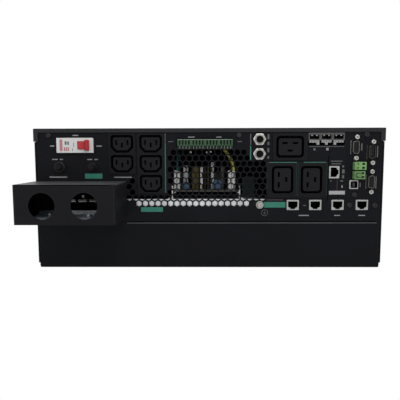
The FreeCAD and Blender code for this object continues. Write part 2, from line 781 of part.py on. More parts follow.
def wiring_box_body():
    """Front and side walls of the wiring box, with flanges folded in at the top and rear."""
    outer = box(BOX_LEFT, BOX_RIGHT, BOX_FRONT, REAR_Y, BOX_BOTTOM, BOX_TOP)
    outer = round_along(outer, vec(0, 0, 1), BOX_BEND, lambda p: p.y < BOX_FRONT + 1)
    outer = round_along(outer, vec(1, 0, 0), BOX_BEND * 0.7,
                        lambda p: p.y < BOX_FRONT + 1 and p.z > BOX_TOP - 1)
    inner = box(BOX_LEFT + BOX_SHEET, BOX_RIGHT - BOX_SHEET, BOX_FRONT + BOX_SHEET, REAR_Y + 1,
                BOX_BOTTOM - 1, BOX_TOP - 2 * BOX_SHEET)
    window = box(BOX_LEFT + BOX_FLANGE, BOX_RIGHT - BOX_FLANGE, BOX_FRONT + BOX_FLANGE, REAR_Y + 1,
                 BOX_BOTTOM, BOX_TOP + 1)
    seat_z = BOX_TOP - BOX_SHEET
    seat = box(BOX_LEFT - 1, BOX_RIGHT - BOX_FLANGE, BOX_FRONT + BOX_SEAT, REAR_Y + 1, seat_z, BOX_TOP + 1)
    seat_right = box(BOX_RIGHT - BOX_FLANGE - 1, BOX_RIGHT + 1, BOX_FRONT + BOX_FLANGE, REAR_Y + 1,
                     seat_z, BOX_TOP + 1)
    tools = [inner, window, seat, seat_right]
    for x in conduit_places():
        tools.append(rod_y(x, CONDUIT_Z, CONDUIT_RADIUS, BOX_FRONT - 1, BOX_FRONT + 3 * BOX_SHEET))
    return cut_all(outer, tools)


def wiring_box_cover():
    """Flat cover of the wiring box with a rear flange against the rear panel."""
    low = BOX_TOP - BOX_SHEET
    y0 = BOX_FRONT + BOX_SEAT + BOX_SLIT
    main = box(BOX_LEFT, BOX_RIGHT - BOX_FLANGE - FIT, y0, REAR_Y, low, BOX_TOP)
    side = box(BOX_RIGHT - BOX_FLANGE - 1, BOX_RIGHT, BOX_FRONT + BOX_FLANGE + FIT, REAR_Y, low, BOX_TOP)
    return fuse_all([main, side])


def wiring_box_base():
    """Bright steel base of the wiring box, turned up at the rear."""
    x0 = BOX_LEFT + BOX_SHEET + FIT
    x1 = BOX_RIGHT - BOX_SHEET - FIT
    y0 = BOX_FRONT + BOX_SHEET + FIT
    floor = box(x0, x1, y0, REAR_Y, BOX_BOTTOM, BOX_BOTTOM + BOX_SHEET)
    turn_up = box(x0, x1, REAR_Y - BOX_SHEET, REAR_Y, BOX_BOTTOM, BOX_BOTTOM + BOX_TURN_UP)
    return fuse_all([floor, turn_up])


def wiring_box_screws():
    """Small screws on the base of the wiring box."""
    screws = []
    z0 = BOX_BOTTOM + BOX_SHEET
    for x in conduit_places():
        outline = corners(x + BOX_SCREW_X, BOX_FRONT + BOX_SCREW_Y, BOX_SCREW, SCREW_SIDES)
        screws.append(prism_z(outline, z0, z0 + BOX_SCREW_HEIGHT))
    return screws


def input_terminal_block():
    """Moulded terminal strip behind the rear panel's wiring window."""
    x0 = TERMINAL_LEFT_X
    x1 = x0 + TERMINAL_POLES * TERMINAL_PITCH
    y0 = PANEL_BACK_Y
    y1 = y0 + TERMINAL_DEPTH
    z0 = BOX_BOTTOM + BOX_TURN_UP
    wall = TERMINAL_WALL
    foot = box(x0 + 2 * wall, x1 - 2 * wall, y0, y0 + 4 * wall, z0 - 4 * wall, z0)
    parts = [foot, box(x0, x1, y0 + wall, y1, z0, z0 + TERMINAL_HEIGHT)]
    for k in range(TERMINAL_POLES + 1):
        x = x0 + k * TERMINAL_PITCH
        left = max(x - wall / 2, x0)
        right = min(x + wall / 2, x1)
        parts.append(box(left, right, y0 + wall, y1, z0, z0 + TERMINAL_HEIGHT + TERMINAL_FIN))
    return fuse_all(parts)


def terminal_clamps():
    """Plated clamps with screws, one on each pole of the terminal strip."""
    clamps = []
    y0 = PANEL_BACK_Y + 2 * TERMINAL_WALL
    z0 = BOX_BOTTOM + BOX_TURN_UP + TERMINAL_HEIGHT
    half = TERMINAL_PITCH / 2 - TERMINAL_WALL
    for k in range(TERMINAL_POLES):
        x = TERMINAL_LEFT_X + (k + 0.5) * TERMINAL_PITCH
        plate = box(x - half, x + half, y0, y0 + 2.4 * half, z0, z0 + BOX_SHEET)
        top = z0 + BOX_SHEET
        head = prism_z(corners(x, y0 + half, SCREW_HEAD, SCREW_SIDES), top, top + SCREW_HEAD_HEIGHT)
        clamps.append(fuse_all([plate, head]))
    return clamps


# Mains sockets

def small_outline(cx, cz, width, height, chamfer, radius, y0, y1):
    """Return a socket form along Y: round upper corners and bevelled lower corners."""
    left = cx - width / 2
    right = cx + width / 2
    low = cz - height / 2
    high = cz + height / 2
    points = [(left, high), (left, low + chamfer), (left + chamfer, low),
              (right - chamfer, low), (right, low + chamfer), (right, high)]
    return round_along(prism_y(points, y0, y1), vec(0, 1, 0), radius, lambda p: p.z > high - 1)


def small_slots(x, z):
    """Return (x, z) of the three slots of a smaller mains socket."""
    return [(x - SLOT_SPREAD, z + SLOT_SHIFT), (x, z - SLOT_SHIFT), (x + SLOT_SPREAD, z + SLOT_SHIFT)]


def small_block(x, z0, z1, count):
    """Moulded block with the smaller mains sockets, one above the other."""
    face = REAR_Y - BLOCK_PROUD
    inset = 2 * (BLOCK_PROUD + FIT)
    middle = (z0 + z1) / 2
    plate = centred_y(x, middle, SMALL_BLOCK_WIDTH, z1 - z0, face, REAR_Y)
    body = centred_y(x, middle, SMALL_BLOCK_WIDTH - inset, z1 - z0 - inset, REAR_Y, REAR_Y + BLOCK_DEPTH)
    block = fuse_all([plate, body])
    tools = []
    for k in range(count):
        z = SMALL_TOP_Z - k * SMALL_PITCH
        ring = small_outline(x, z, SMALL_WIDTH, SMALL_HEIGHT, SMALL_CHAMFER, SMALL_RADIUS,
                             face - 1, face + SMALL_DEPTH)
        core = small_outline(x, z, SMALL_WIDTH - 2 * SMALL_RING, SMALL_HEIGHT - 2 * SMALL_RING,
                             SMALL_CHAMFER - SMALL_RING / 2, SMALL_RADIUS - SMALL_RING / 2,
                             face + CORE_SINK, face + SMALL_DEPTH + 1)
        tools.append(ring.cut(core))
        for sx, sz in small_slots(x, z):
            tools.append(centred_y(sx, sz, SLOT_THICK, SLOT_LENGTH, face - 1, face + SLOT_DEPTH))
    return cut_all(block, tools)


def small_contacts(count, x):
    """Brass contacts behind the slots of one block of smaller sockets."""
    pieces = []
    y0 = REAR_Y - BLOCK_PROUD + SLOT_DEPTH - CONTACT_DEPTH
    for k in range(count):
        for sx, sz in small_slots(x, SMALL_TOP_Z - k * SMALL_PITCH):
            middle = sx - (SLOT_THICK - CONTACT_THICK) / 2
            pieces.append(centred_y(middle, sz, CONTACT_THICK, SLOT_LENGTH, y0, y0 + CONTACT_DEPTH))
    return pieces


def large_socket_tools(cx, cz, upright, face):
    """Return the ring and slots of one larger socket; upright ones are turned a quarter."""
    size = (LARGE_WIDTH, LARGE_LENGTH) if upright else (LARGE_LENGTH, LARGE_WIDTH)
    ring = pad_y(cx, cz, size[0], size[1], LARGE_RADIUS, face - 1, face + LARGE_DEPTH)
    core = pad_y(cx, cz, size[0] - 2 * LARGE_RING, size[1] - 2 * LARGE_RING, LARGE_RADIUS - LARGE_RING / 2,
                 face + CORE_SINK, face + LARGE_DEPTH + 1)
    tools = [ring.cut(core)]
    for along, across in ((-LARGE_SLOT_SPREAD, 1), (LARGE_SLOT_SPREAD, 1), (0, -1)):
        offset = across * LARGE_SLOT_OFFSET
        if upright:
            x, z, dx, dz = cx - offset, cz + along, LARGE_SLOT_THICK, LARGE_SLOT_LENGTH
        else:
            x, z, dx, dz = cx + along, cz + offset, LARGE_SLOT_LENGTH, LARGE_SLOT_THICK
        tools.append(box(x - dx / 2, x + dx / 2, face - 1, face + SLOT_DEPTH, z - dz / 2, z + dz / 2))
    return tools


def large_block(cx, cz, width, height, sockets, upright):
    """Moulded block with larger mains sockets at the given places."""
    face = REAR_Y - BLOCK_PROUD
    plate = centred_y(cx, cz, width, height, face, REAR_Y)
    inset = 2 * (BLOCK_PROUD + FIT)
    body = centred_y(cx, cz, width - inset, height - inset, REAR_Y, REAR_Y + BLOCK_DEPTH)
    block = fuse_all([plate, body])
    tools = []
    for x, z in sockets:
        tools.extend(large_socket_tools(x, z, upright, face))
    return cut_all(block, tools)


def large_pair_places():
    """Return (x, z) of the two upright larger sockets."""
    half = LARGE_PAIR_PITCH / 2
    return [(LARGE_PAIR_X - half, LARGE_PAIR_Z), (LARGE_PAIR_X + half, LARGE_PAIR_Z)]


def large_single():
    """Moulded block with the single larger mains socket."""
    places = [(LARGE_TOP_X, LARGE_TOP_Z)]
    return large_block(LARGE_TOP_X, LARGE_TOP_Z, LARGE_TOP_BLOCK_WIDTH, LARGE_TOP_BLOCK_HEIGHT, places, False)


def large_pair():
    """Block with two upright larger sockets and a fine groove between them."""
    block = large_block(LARGE_PAIR_X, LARGE_PAIR_Z, LARGE_PAIR_BLOCK_WIDTH, LARGE_PAIR_BLOCK_HEIGHT,
                        large_pair_places(), True)
    face = REAR_Y - BLOCK_PROUD
    groove = centred_y(LARGE_PAIR_X, LARGE_PAIR_Z, GROOVE, 2 * LARGE_PAIR_BLOCK_HEIGHT,
                       face - 1, face + GROOVE)
    return block.cut(groove)


# Miniature circuit breaker

def breaker_face_y():
    """Return Y of the breaker's front face."""
    return REAR_Y - BREAKER_PROUD


def lever_axis_y():
    """Return Y of the lever's pivot."""
    return breaker_face_y() + LEVER_SINK


def breaker_body():
    """Breaker housing on its side: a narrow nose through the panel and a wide back."""
    x0 = BREAKER_X - BREAKER_LENGTH / 2
    x1 = BREAKER_X + BREAKER_LENGTH / 2
    z0 = BREAKER_Z - BREAKER_HEIGHT / 2
    z1 = BREAKER_Z + BREAKER_HEIGHT / 2
    nose = box(x0, x1, breaker_face_y(), REAR_Y + BREAKER_NECK, z0, z1)
    wide = (BREAKER_BACK_LENGTH - BREAKER_LENGTH) / 2
    x_left = max(x0 - wide, -PANEL_HALF + SHEET + FIT)
    rear = breaker_face_y() + BREAKER_DEPTH
    back = box(x_left, x_left + BREAKER_BACK_LENGTH, REAR_Y + BREAKER_NECK, rear, z0, z1)
    body = fuse_all([nose, back])
    y = lever_axis_y()
    half = LEVER_BARREL_HEIGHT / 2 + FIT
    pocket = rod_z(LEVER_X, y, LEVER_BARREL + FIT, BREAKER_Z - half, BREAKER_Z + half)
    body = body.cut(pocket)
    pin = rod_z(LEVER_X, y, LEVER_PIN, BREAKER_Z - half - 1, BREAKER_Z + half + 1)
    return fuse_all([body, pin])


def breaker_lever():
    """Red toggle: a barrel on the pivot pin and a wider flat handle thrown to one side."""
    y = lever_axis_y()
    half = LEVER_BARREL_HEIGHT / 2
    barrel = rod_z(LEVER_X, y, LEVER_BARREL, BREAKER_Z - half, BREAKER_Z + half)
    thumb = box(LEVER_X - LEVER_THICK / 2, LEVER_X + LEVER_THICK / 2, y - LEVER_REACH, y - LEVER_BARREL,
                BREAKER_Z - LEVER_HEIGHT / 2, BREAKER_Z + LEVER_HEIGHT / 2)
    root = box(LEVER_X - LEVER_THICK / 2, LEVER_X + LEVER_THICK / 2, y - LEVER_BARREL, y - LEVER_BARREL + 2,
               BREAKER_Z - half, BREAKER_Z + half)
    handle = fuse_all([thumb, root])
    handle = round_along(handle, vec(0, 0, 1), 1.0, lambda p: p.y < y - LEVER_REACH + 0.5)
    handle.rotate(vec(LEVER_X, y, 0), vec(0, 0, 1), LEVER_THROW)
    lever = fuse_all([barrel, handle])
    bore = rod_z(LEVER_X, y, LEVER_PIN + RUNNING, BREAKER_Z - LEVER_HEIGHT, BREAKER_Z + LEVER_HEIGHT)
    return lever.cut(bore)


# Push-to-reset breakers

def bushing_front():
    """Return Y of the front end of a reset bushing."""
    return REAR_Y - RESET_NUT_THICK - BUSHING_PROUD


def reset_breakers():
    """Housings and threaded bushings of the four push-to-reset breakers."""
    bodies = []
    for _, x, z, bushing, button in reset_places():
        end = PANEL_BACK_Y + RESET_BODY_DEPTH
        housing = centred_y(x, z, RESET_BODY_WIDTH, RESET_BODY_HEIGHT, PANEL_BACK_Y, end)
        neck = prism_y(corners(x, z, bushing, NUT_SIDES), bushing_front(), PANEL_BACK_Y + 1)
        bore = rod_y(x, z, button + SLIDE_FIT, bushing_front() - 1, PANEL_BACK_Y + RESET_BODY_DEPTH / 2)
        bodies.append(fuse_all([housing, neck]).cut(bore))
    return Part.makeCompound(bodies)


def reset_button(x, z, button):
    """Push button of one reset breaker; it stands out of its bushing."""
    return rod_y(x, z, button, bushing_front() - RESET_PROUD, PANEL_BACK_Y + RESET_BODY_DEPTH / 2 - FIT)


def ring_nut(x, z, radius, bushing):
    """Black nut with grip flats and a bevelled rim, on a reset bushing."""
    nut = prism_y(corners(x, z, radius, NUT_SIDES), REAR_Y - RESET_NUT_THICK, REAR_Y)
    nut = nut.makeChamfer(RESET_NUT_BEVEL, [e for e in nut.Edges if e.BoundBox.YMax < REAR_Y - 1])
    hole = corners(x, z, reach_round(bushing + SLIDE_FIT, NUT_SIDES), NUT_SIDES)
    return nut.cut(prism_y(hole, REAR_Y - 3 * RESET_NUT_THICK, REAR_Y + 1))


def hex_nut(x, z):
    """Plated hexagon nut on a reset bushing."""
    nut = hexagon_y(x, z, CHARGER_NUT_FLATS, REAR_Y - RESET_NUT_THICK, REAR_Y, 30)
    hole = corners(x, z, reach_round(CHARGER_BUSHING + SLIDE_FIT, NUT_SIDES), NUT_SIDES)
    return nut.cut(prism_y(hole, REAR_Y - 3 * RESET_NUT_THICK, REAR_Y + 1))


# Signal plugs and sockets

def signal_plug_xs():
    """Return the middle x of each signal plug."""
    start = SIGNAL_X - (SIGNAL_PLUGS - 1) * SIGNAL_PLUG_PITCH / 2
    return [start + k * SIGNAL_PLUG_PITCH for k in range(SIGNAL_PLUGS)]


def signal_headers():
    """Green pin headers behind the panel, one for each signal plug."""
    headers = []
    for x in signal_plug_xs():
        half = SIGNAL_PLUG_PITCH / 2 - 0.2
        headers.append(box(x - half, x + half, REAR_Y, REAR_Y + HEADER_DEPTH,
                           SIGNAL_Z - SIGNAL_HEIGHT / 2, SIGNAL_Z + SIGNAL_HEIGHT / 2))
    return headers


def signal_plugs():
    """Green plugs with a row of wire entries above a row of clamp screws."""
    plugs = []
    front = REAR_Y - SIGNAL_PROUD
    for x in signal_plug_xs():
        half = SIGNAL_PLUG_PITCH / 2 - 0.4
        low = SIGNAL_Z - SIGNAL_HEIGHT / 2
        high = SIGNAL_Z + SIGNAL_HEIGHT / 2
        step = low + 4.2
        points = [(front, high), (front, step), (front + 1.6, low), (REAR_Y, low), (REAR_Y, high)]
        body = prism_x(points, x - half, x + half)
        tools = []
        for pole in range(SIGNAL_POLES):
            px = x + (pole - (SIGNAL_POLES - 1) / 2) * SIGNAL_POLE_PITCH
            tools.append(box(px - 1.25, px + 1.25, front - 1, front + 5, step + 1.4, high - 1.2))
            tools.append(box(px - 1.1, px + 1.1, front - 1, front + 2.4, low + 0.9, step - 0.6))
        plugs.append(cut_all(body, tools))
    return plugs


def signal_screws():
    """Clamp screws of the signal plugs."""
    screws = []
    front = REAR_Y - SIGNAL_PROUD
    low = SIGNAL_Z - SIGNAL_HEIGHT / 2
    for x in signal_plug_xs():
        for pole in range(SIGNAL_POLES):
            px = x + (pole - (SIGNAL_POLES - 1) / 2) * SIGNAL_POLE_PITCH
            screws.append(box(px - 1.1, px + 1.1, front + 1.6, front + 2.4, low + 0.9, low + 3.6))
    return screws


def port_shell():
    """Plated cage with three shielded ports, each with a latch bar and its tab under it."""
    front = REAR_Y - PORT_PROUD
    middle = REAR_Y + PORT_DEPTH / 2
    back = REAR_Y + PORT_DEPTH
    half = 1.5 * PORT_PITCH
    low = PORT_Z - PORT_HEIGHT / 2
    cage_low = low + PORT_LATCH_HEIGHT
    ports = []
    latches = []
    for k in range(3):
        x = PORT_X + (k - 1) * PORT_PITCH
        ports.append(centred_y(x, PORT_OPENING_Z, PORT_OPENING_WIDTH, PORT_OPENING_HEIGHT,
                               front - 1, back - PORT_WALL))
        tab_x = x + (1 - k) * 4.4
        bar = box(x - 6.1, x + 6.1, front, middle, low + 2.6, cage_low)
        tab = box(tab_x - 1.6, tab_x + 1.6, front, middle, low, low + 2.6)
        latches.append(fuse_all([bar, tab]))
    cage = cut_all(box(PORT_X - half, PORT_X + half, front, back, cage_low, PORT_Z + PORT_HEIGHT / 2), ports)
    return Part.makeCompound([cage, *latches])


def port_tongues():
    """Dark contact tongues inside the three shielded ports."""
    tongues = []
    for k in range(3):
        x = PORT_X + (k - 1) * PORT_PITCH
        back = REAR_Y + PORT_DEPTH - PORT_WALL
        low = PORT_OPENING_Z + PORT_OPENING_HEIGHT / 2 - 1.4
        tongues.append(box(x - 4.6, x + 4.6, REAR_Y + PORT_TONGUE_START, back, low, low + 1.1))
    return Part.makeCompound(tongues)


def serial_outline(x, z, side, grow, y0, y1):
    """Return the D form of a serial socket, upright, with its long side at the given side."""
    half_l = SERIAL_LENGTH / 2 + grow
    half_w = SERIAL_WIDTH / 2 + grow
    slope = 2 * half_w * math.tan(math.radians(SERIAL_TAPER))
    points = [(x + side * half_w, z + half_l), (x + side * half_w, z - half_l),
              (x - side * half_w, z - half_l + slope), (x - side * half_w, z + half_l - slope)]
    return prism_y(bevelled(points, SERIAL_RADIUS + grow), y0, y1)


def serial_shells():
    """Plated shells of the three serial sockets: D collar and flange plate."""
    shells = []
    back = PANEL_BACK_Y + SERIAL_SHEET
    for x, z, side, _ in serial_places():
        collar = serial_outline(x, z, -side, 0, REAR_Y - SERIAL_PROUD, back)
        flange = centred_y(x, z, SERIAL_FLANGE_WIDTH, SERIAL_FLANGE_LENGTH, PANEL_BACK_Y, back)
        tools = [serial_outline(x, z, -side, -SERIAL_WALL, REAR_Y - 9, REAR_Y + 9)]
        for k in (-0.5, 0.5):
            outline = corners(x, z + k * SERIAL_SCREW_PITCH, JACK_HOLE + FIT, SHANK_SIDES)
            tools.append(prism_y(outline, REAR_Y, REAR_Y + 9))
        shells.append(cut_all(fuse_all([collar, flange]), tools))
    return Part.makeCompound(shells)


def serial_pin_places(x, z, side):
    """Return (x, z) of the nine contacts of a serial socket."""
    places = [(x - side * SERIAL_PIN_ROW, z + (k - 2) * SERIAL_PIN_PITCH) for k in range(5)]
    places.extend([(x + side * SERIAL_PIN_ROW, z + (k - 1.5) * SERIAL_PIN_PITCH) for k in range(4)])
    return places


def serial_inserts():
    """Insulators of the serial sockets: two filled ones and an open one with pins."""
    inserts = []
    for x, z, side, pins in serial_places():
        y0 = REAR_Y if pins else REAR_Y - SERIAL_PROUD + FIT
        insert = serial_outline(x, z, -side, -SERIAL_WALL - RUNNING, y0, PANEL_BACK_Y + SERIAL_BODY_DEPTH)
        shapes = [insert]
        if pins:
            for px, pz in serial_pin_places(x, z, side):
                outline = corners(px, pz, SERIAL_PIN, SHANK_SIDES)
                shapes.append(prism_y(outline, REAR_Y - SERIAL_PROUD + 1, REAR_Y))
        inserts.append(fuse_all(shapes))
    return Part.makeCompound(inserts)


def jack_screws():
    """Hexagon jack posts, two beside each serial socket."""
    posts = []
    front = REAR_Y - JACK_HEIGHT
    for x, z, _, _ in serial_places():
        for k in (-0.5, 0.5):
            pz = z + k * SERIAL_SCREW_PITCH
            post = hexagon_y(x, pz, JACK_FLATS, front, REAR_Y)
            shank = prism_y(corners(x, pz, JACK_HOLE, SHANK_SIDES), REAR_Y, PANEL_BACK_Y + 3)
            hole = prism_y(corners(x, pz, JACK_HOLE, SHANK_SIDES), front - 1, REAR_Y - FIT)
            posts.append(fuse_all([post, shank]).cut(hole))
    return Part.makeCompound(posts)


def data_jack(x, z, turned):
    """Shielded data socket with its latch notch down, or to the right when turned."""
    front = REAR_Y - JACK_PROUD
    back = REAR_Y + JACK_DEPTH
    shell = box(x - JACK_WIDTH / 2, x + JACK_WIDTH / 2, front, back, z - JACK_TALL / 2, z + JACK_TALL / 2)
    half = JACK_WIDTH / 2 - 2.1
    high = z + JACK_TALL / 2 - JACK_WALL
    points = [(x - half, high), (x - half, high - 7.0), (x - 3.2, high - 7.0), (x - 3.2, high - 9.3),
              (x + 3.2, high - 9.3), (x + 3.2, high - 7.0), (x + half, high - 7.0), (x + half, high)]
    jack = shell.cut(prism_y(points, front - 1, back - JACK_WALL))
    if turned:
        jack.rotate(vec(x, 0, z), vec(0, 1, 0), -90)
    return jack


def data_jacks():
    """Row of four data sockets and the turned one of the network card."""
    jacks = [data_jack(x, DATA_Z, False) for x in DATA_XS]
    jacks.append(data_jack(CARD_JACK_X, CARD_Z, True))
    return Part.makeCompound(jacks)


def data_contacts():
    """Sprung contact strips inside the four data sockets."""
    strips = []
    for x in DATA_XS:
        z = DATA_Z + JACK_TALL / 2 - JACK_WALL
        for k in range(8):
            cx = x + (k - 3.5) * 1.02
            strips.append(box(cx - 0.25, cx + 0.25, REAR_Y + 2, REAR_Y + 10, z - 0.5, z))
    return strips


def network_card():
    """Plate and board of the plug-in network card."""
    face = REAR_Y - 0.6
    plate = centred_y(CARD_X, CARD_Z, CARD_WIDTH, CARD_HEIGHT, face, REAR_Y + 0.6)
    hole = box(CARD_JACK_X - JACK_TALL / 2 - FIT, CARD_JACK_X + JACK_TALL / 2 + FIT, face - 1, REAR_Y + 2,
               CARD_Z - JACK_WIDTH / 2 - FIT, CARD_Z + JACK_WIDTH / 2 + FIT)
    plate = plate.cut(hole)
    board_x = CARD_JACK_X + JACK_TALL / 2
    board = box(board_x, board_x + BOARD_THICK, REAR_Y + 0.6, REAR_Y + CARD_BOARD_DEPTH,
                CARD_Z - CARD_HEIGHT / 2 + 3, CARD_Z + CARD_HEIGHT / 2 - 3)
    return fuse_all([plate, board])


def square_socket():
    """Square shielded socket with a tongue in its middle."""
    front = REAR_Y - JACK_PROUD
    end = REAR_Y + SQUARE_DEPTH
    shell = centred_y(SQUARE_X, SQUARE_Z, SQUARE_SIZE, SQUARE_SIZE, front, end)
    hollow = centred_y(SQUARE_X, SQUARE_Z, SQUARE_OPENING, SQUARE_OPENING, front - 1, end - 2)
    tongue = centred_y(SQUARE_X, SQUARE_Z, SQUARE_TONGUE_WIDTH, SQUARE_TONGUE_HEIGHT, REAR_Y + 0.6, end - 1)
    return fuse_all([shell.cut(hollow), tongue])


def stop_plugs():
    """Two green two-pole plugs; wire entries at the right and clamp screws at the left."""
    plugs = []
    left = STOP_X - STOP_LENGTH / 2
    right = STOP_X + STOP_LENGTH / 2
    front = REAR_Y - STOP_PROUD
    back = REAR_Y + 2
    plan = [(left + STOP_BEVEL, front), (right, front), (right, back), (left, back),
            (left, front + STOP_BEVEL)]
    for z in (STOP_TOP_Z, STOP_LOWER_Z):
        tools = []
        for side in (-1, 1):
            pz = z + side * STOP_HEIGHT / 4
            entry = centred_y(STOP_X + STOP_ENTRY_X, pz, STOP_ENTRY, 2 * STOP_HOLE, front - 1, front + 5)
            outline = corners(STOP_X - STOP_SCREW_X, pz, STOP_SCREW, KEY_SIDES)
            tools.extend([entry, prism_y(outline, front - 1, front + 1.2)])
        plugs.append(cut_all(prism_z(plan, z - STOP_HEIGHT / 2, z + STOP_HEIGHT / 2), tools))
    return Part.makeCompound(plugs)


def earth_screw():
    """Plated earth screw with a washer and a cross recess."""
    step = REAR_Y - EARTH_WASHER
    front = step - EARTH_HEAD_HEIGHT
    washer = prism_y(corners(EARTH_X, EARTH_Z, EARTH_RADIUS, EARTH_SIDES), step, REAR_Y)
    head = prism_y(corners(EARTH_X, EARTH_Z, EARTH_RADIUS - 2 * EARTH_BEVEL, EARTH_SIDES), front, step)
    head = head.makeChamfer(EARTH_BEVEL, [e for e in head.Edges if e.BoundBox.YMax < front + 0.1])
    shank = prism_y(corners(EARTH_X, EARTH_Z, EARTH_SHANK, SHANK_SIDES), REAR_Y, PANEL_BACK_Y + 8)
    deep = front + EARTH_BEVEL
    slot = centred_y(EARTH_X, EARTH_Z, 2 * EARTH_SHANK, EARTH_WASHER, front - 1, deep)
    cross = centred_y(EARTH_X, EARTH_Z, EARTH_WASHER, 2 * EARTH_SHANK, front - 1, deep)
    return cut_all(fuse_all([washer, head, shank]), [slot, cross])


# Filter board behind the perforation

def filter_tray():
    """Galvanised shelf that carries the filter board, turned down behind the rear panel."""
    y0 = PANEL_BACK_Y + TRAY_FRONT_GAP
    shelf = box(TRAY_LEFT_X, TRAY_RIGHT_X, y0, y0 + TRAY_DEPTH, TRAY_TOP_Z - TRAY_SHEET, TRAY_TOP_Z)
    front = box(TRAY_LEFT_X, TRAY_RIGHT_X, y0, y0 + TRAY_SHEET, TRAY_TOP_Z - TRAY_DROP, TRAY_TOP_Z)
    parts = [shelf, front]
    for x in (TRAY_LEFT_X, TRAY_RIGHT_X - TRAY_SHEET):
        y = y0 + TRAY_DEPTH - FLANGE
        parts.append(box(x, x + TRAY_SHEET, y, y + FLANGE, SHEET, TRAY_TOP_Z))
    low = TRAY_TOP_Z - TRAY_DROP
    for x in (TRAY_LEFT_X + FLANGE, TRAY_RIGHT_X - 2 * FLANGE):
        parts.append(box(x, x + FLANGE, PANEL_BACK_Y, y0 + TRAY_SHEET, low, low + FLANGE / 2))
    tray = fuse_all(parts)
    outline = corners(EARTH_X, EARTH_Z, EARTH_SHANK + SLIDE_FIT, SHANK_SIDES)
    return tray.cut(prism_y(outline, REAR_Y, y0 + 2 * TRAY_SHEET))


def filter_brackets():
    """Two plated brackets on the shelf that clamp the ends of the filter board."""
    brackets = []
    y0 = PANEL_BACK_Y + TRAY_FRONT_GAP + 1
    y1 = REAR_Y + BOARD_FRONT + BOARD_DEPTH
    for x, side in ((BOARD_LEFT_X, -1), (BOARD_RIGHT_X, 1)):
        near = x + side * FIT
        far = near + side * BRACKET_SHEET
        wall = box(min(near, far), max(near, far), y0, y1, TRAY_TOP_Z, BRACKET_TOP_Z)
        reach = x - side * 3.0
        ledge = box(min(far, reach), max(far, reach), y0, y1, BOARD_Z - BRACKET_SHEET, BOARD_Z)
        out = far + side * BRACKET_FOOT
        foot = box(min(near, out), max(near, out), y0, y1, TRAY_TOP_Z, TRAY_TOP_Z + BRACKET_SHEET)
        brackets.append(fuse_all([wall, ledge, foot]))
    return Part.makeCompound(brackets)


def filter_board():
    """Filter circuit board."""
    y0 = REAR_Y + BOARD_FRONT
    return box(BOARD_LEFT_X, BOARD_RIGHT_X, y0, y0 + BOARD_DEPTH, BOARD_Z, BOARD_TOP_Z)


def standing_block(x0, x1, depth, thick, height, bevel):
    """Block with bevelled corners that stands on the filter board, a depth behind the rear panel."""
    y0 = REAR_Y + depth
    y1 = y0 + thick
    plan = bevelled([(x0, y0), (x1, y0), (x1, y1), (x0, y1)], bevel)
    return prism_z(plan, BOARD_TOP_Z, BOARD_TOP_Z + height)


def film_capacitors():
    """Box film capacitors in yellow wrap."""
    return Part.makeCompound([
        standing_block(-23.9, -11.5, 24, 22, 29.5, 1.4),
        standing_block(-5.5, 1.4, 26, 22, 28.9, 1.2),
    ])


def white_sleeves():
    """White insulating sleeves over the push-on terminals of the filter board."""
    spans = [
        (-44.0, -40.7, 0, 25.0),
        (-40.1, -36.3, 0, SLEEVE_HEIGHT),
        (-32.8, -26.3, 10, 30.9),
        (-10.6, -7.3, 2, 29.0),
        (3.0, 6.8, 8, 35.0),
        (24.6, 28.7, 0, 24.6),
        (29.1, 33.6, 0, SLEEVE_HEIGHT),
    ]
    sleeves = []
    for x0, x1, back, height in spans:
        sleeves.append(standing_block(x0, x1, SLEEVE_DEPTH + back, SLEEVE_THICK, height, 0.8))
    return Part.makeCompound(sleeves)


def surge_discs():
    """Blue disc varistors standing on the filter board."""
    discs = []
    y0 = REAR_Y + SLEEVE_DEPTH
    for x, radius in ((-28.7, 5.2), (11.1, 6.6)):
        outline = corners(x, BOARD_TOP_Z + radius, radius, DISC_SIDES)
        discs.append(prism_y(outline, y0, y0 + DISC_THICK))
    return Part.makeCompound(discs)


def filter_relays():
    """Small grey relay and dark blocks on the filter board."""
    return [
        standing_block(15.6, 20.2, 30, 16, 28.8, 0.6),
        standing_block(-43.0, -30.0, 50, 24, 21.0, 0.8),
        standing_block(6.0, 22.0, 52, 20, 19.0, 0.8),
    ]


def filter_choke():
    """Dark green common-mode choke beside the filter board, on the shelf."""
    y0 = REAR_Y + FILTER_CHOKE_START
    x0 = BOARD_RIGHT_X + FIT + BRACKET_SHEET + BRACKET_FOOT + FIT
    block = box(x0, x0 + FILTER_CHOKE_WIDTH, y0, y0 + FILTER_CHOKE_DEPTH,
                TRAY_TOP_Z, TRAY_TOP_Z + FILTER_CHOKE_HEIGHT)
    return round_along(block, vec(0, 1, 0), 3.0, lambda p: p.z > TRAY_TOP_Z + 1)


def tube(points, radius):
    """Return a six-sided wire through points: straight runs joined by tangent arcs."""
    along = (points[1] - points[0]).normalize()
    side = along.cross(vec(1, 2, 3)).normalize() * radius
    turns = [FreeCAD.Rotation(along, 360 * k / WIRE_SIDES) for k in range(WIRE_SIDES)]
    ring = [points[0] + turn.multVec(side) for turn in turns]
    face = Part.Face(Part.makePolygon(ring + ring[:1]))
    start = points[0]
    parts = []
    for k in range(1, len(points) - 1):
        before = points[k - 1] - points[k]
        after = points[k + 1] - points[k]
        turn = math.pi - before.getAngle(after)
        reach = BEND_SHARE * min(before.Length, after.Length)
        bend = reach / math.tan(turn / 2)
        axis = after.cross(before).normalize()
        into = points[k] + before.normalize() * reach
        out = points[k] + after.normalize() * reach
        middle = points[k] + (before + after).normalize() * math.hypot(bend, reach)
        parts.append(face.extrude(into - start))
        face.translate(into - start)
        parts.append(face.revolve(middle, axis, math.degrees(turn)))
        face.rotate(middle, axis, math.degrees(turn))
        start = out
    parts.append(face.extrude(points[-1] - start))
    return fuse_all(parts)


def wire_lug_z():
    """Return the height of the underside of the wire lugs."""
    return LID_UNDER - 2 * FIT - SHEET - LUG_THICK


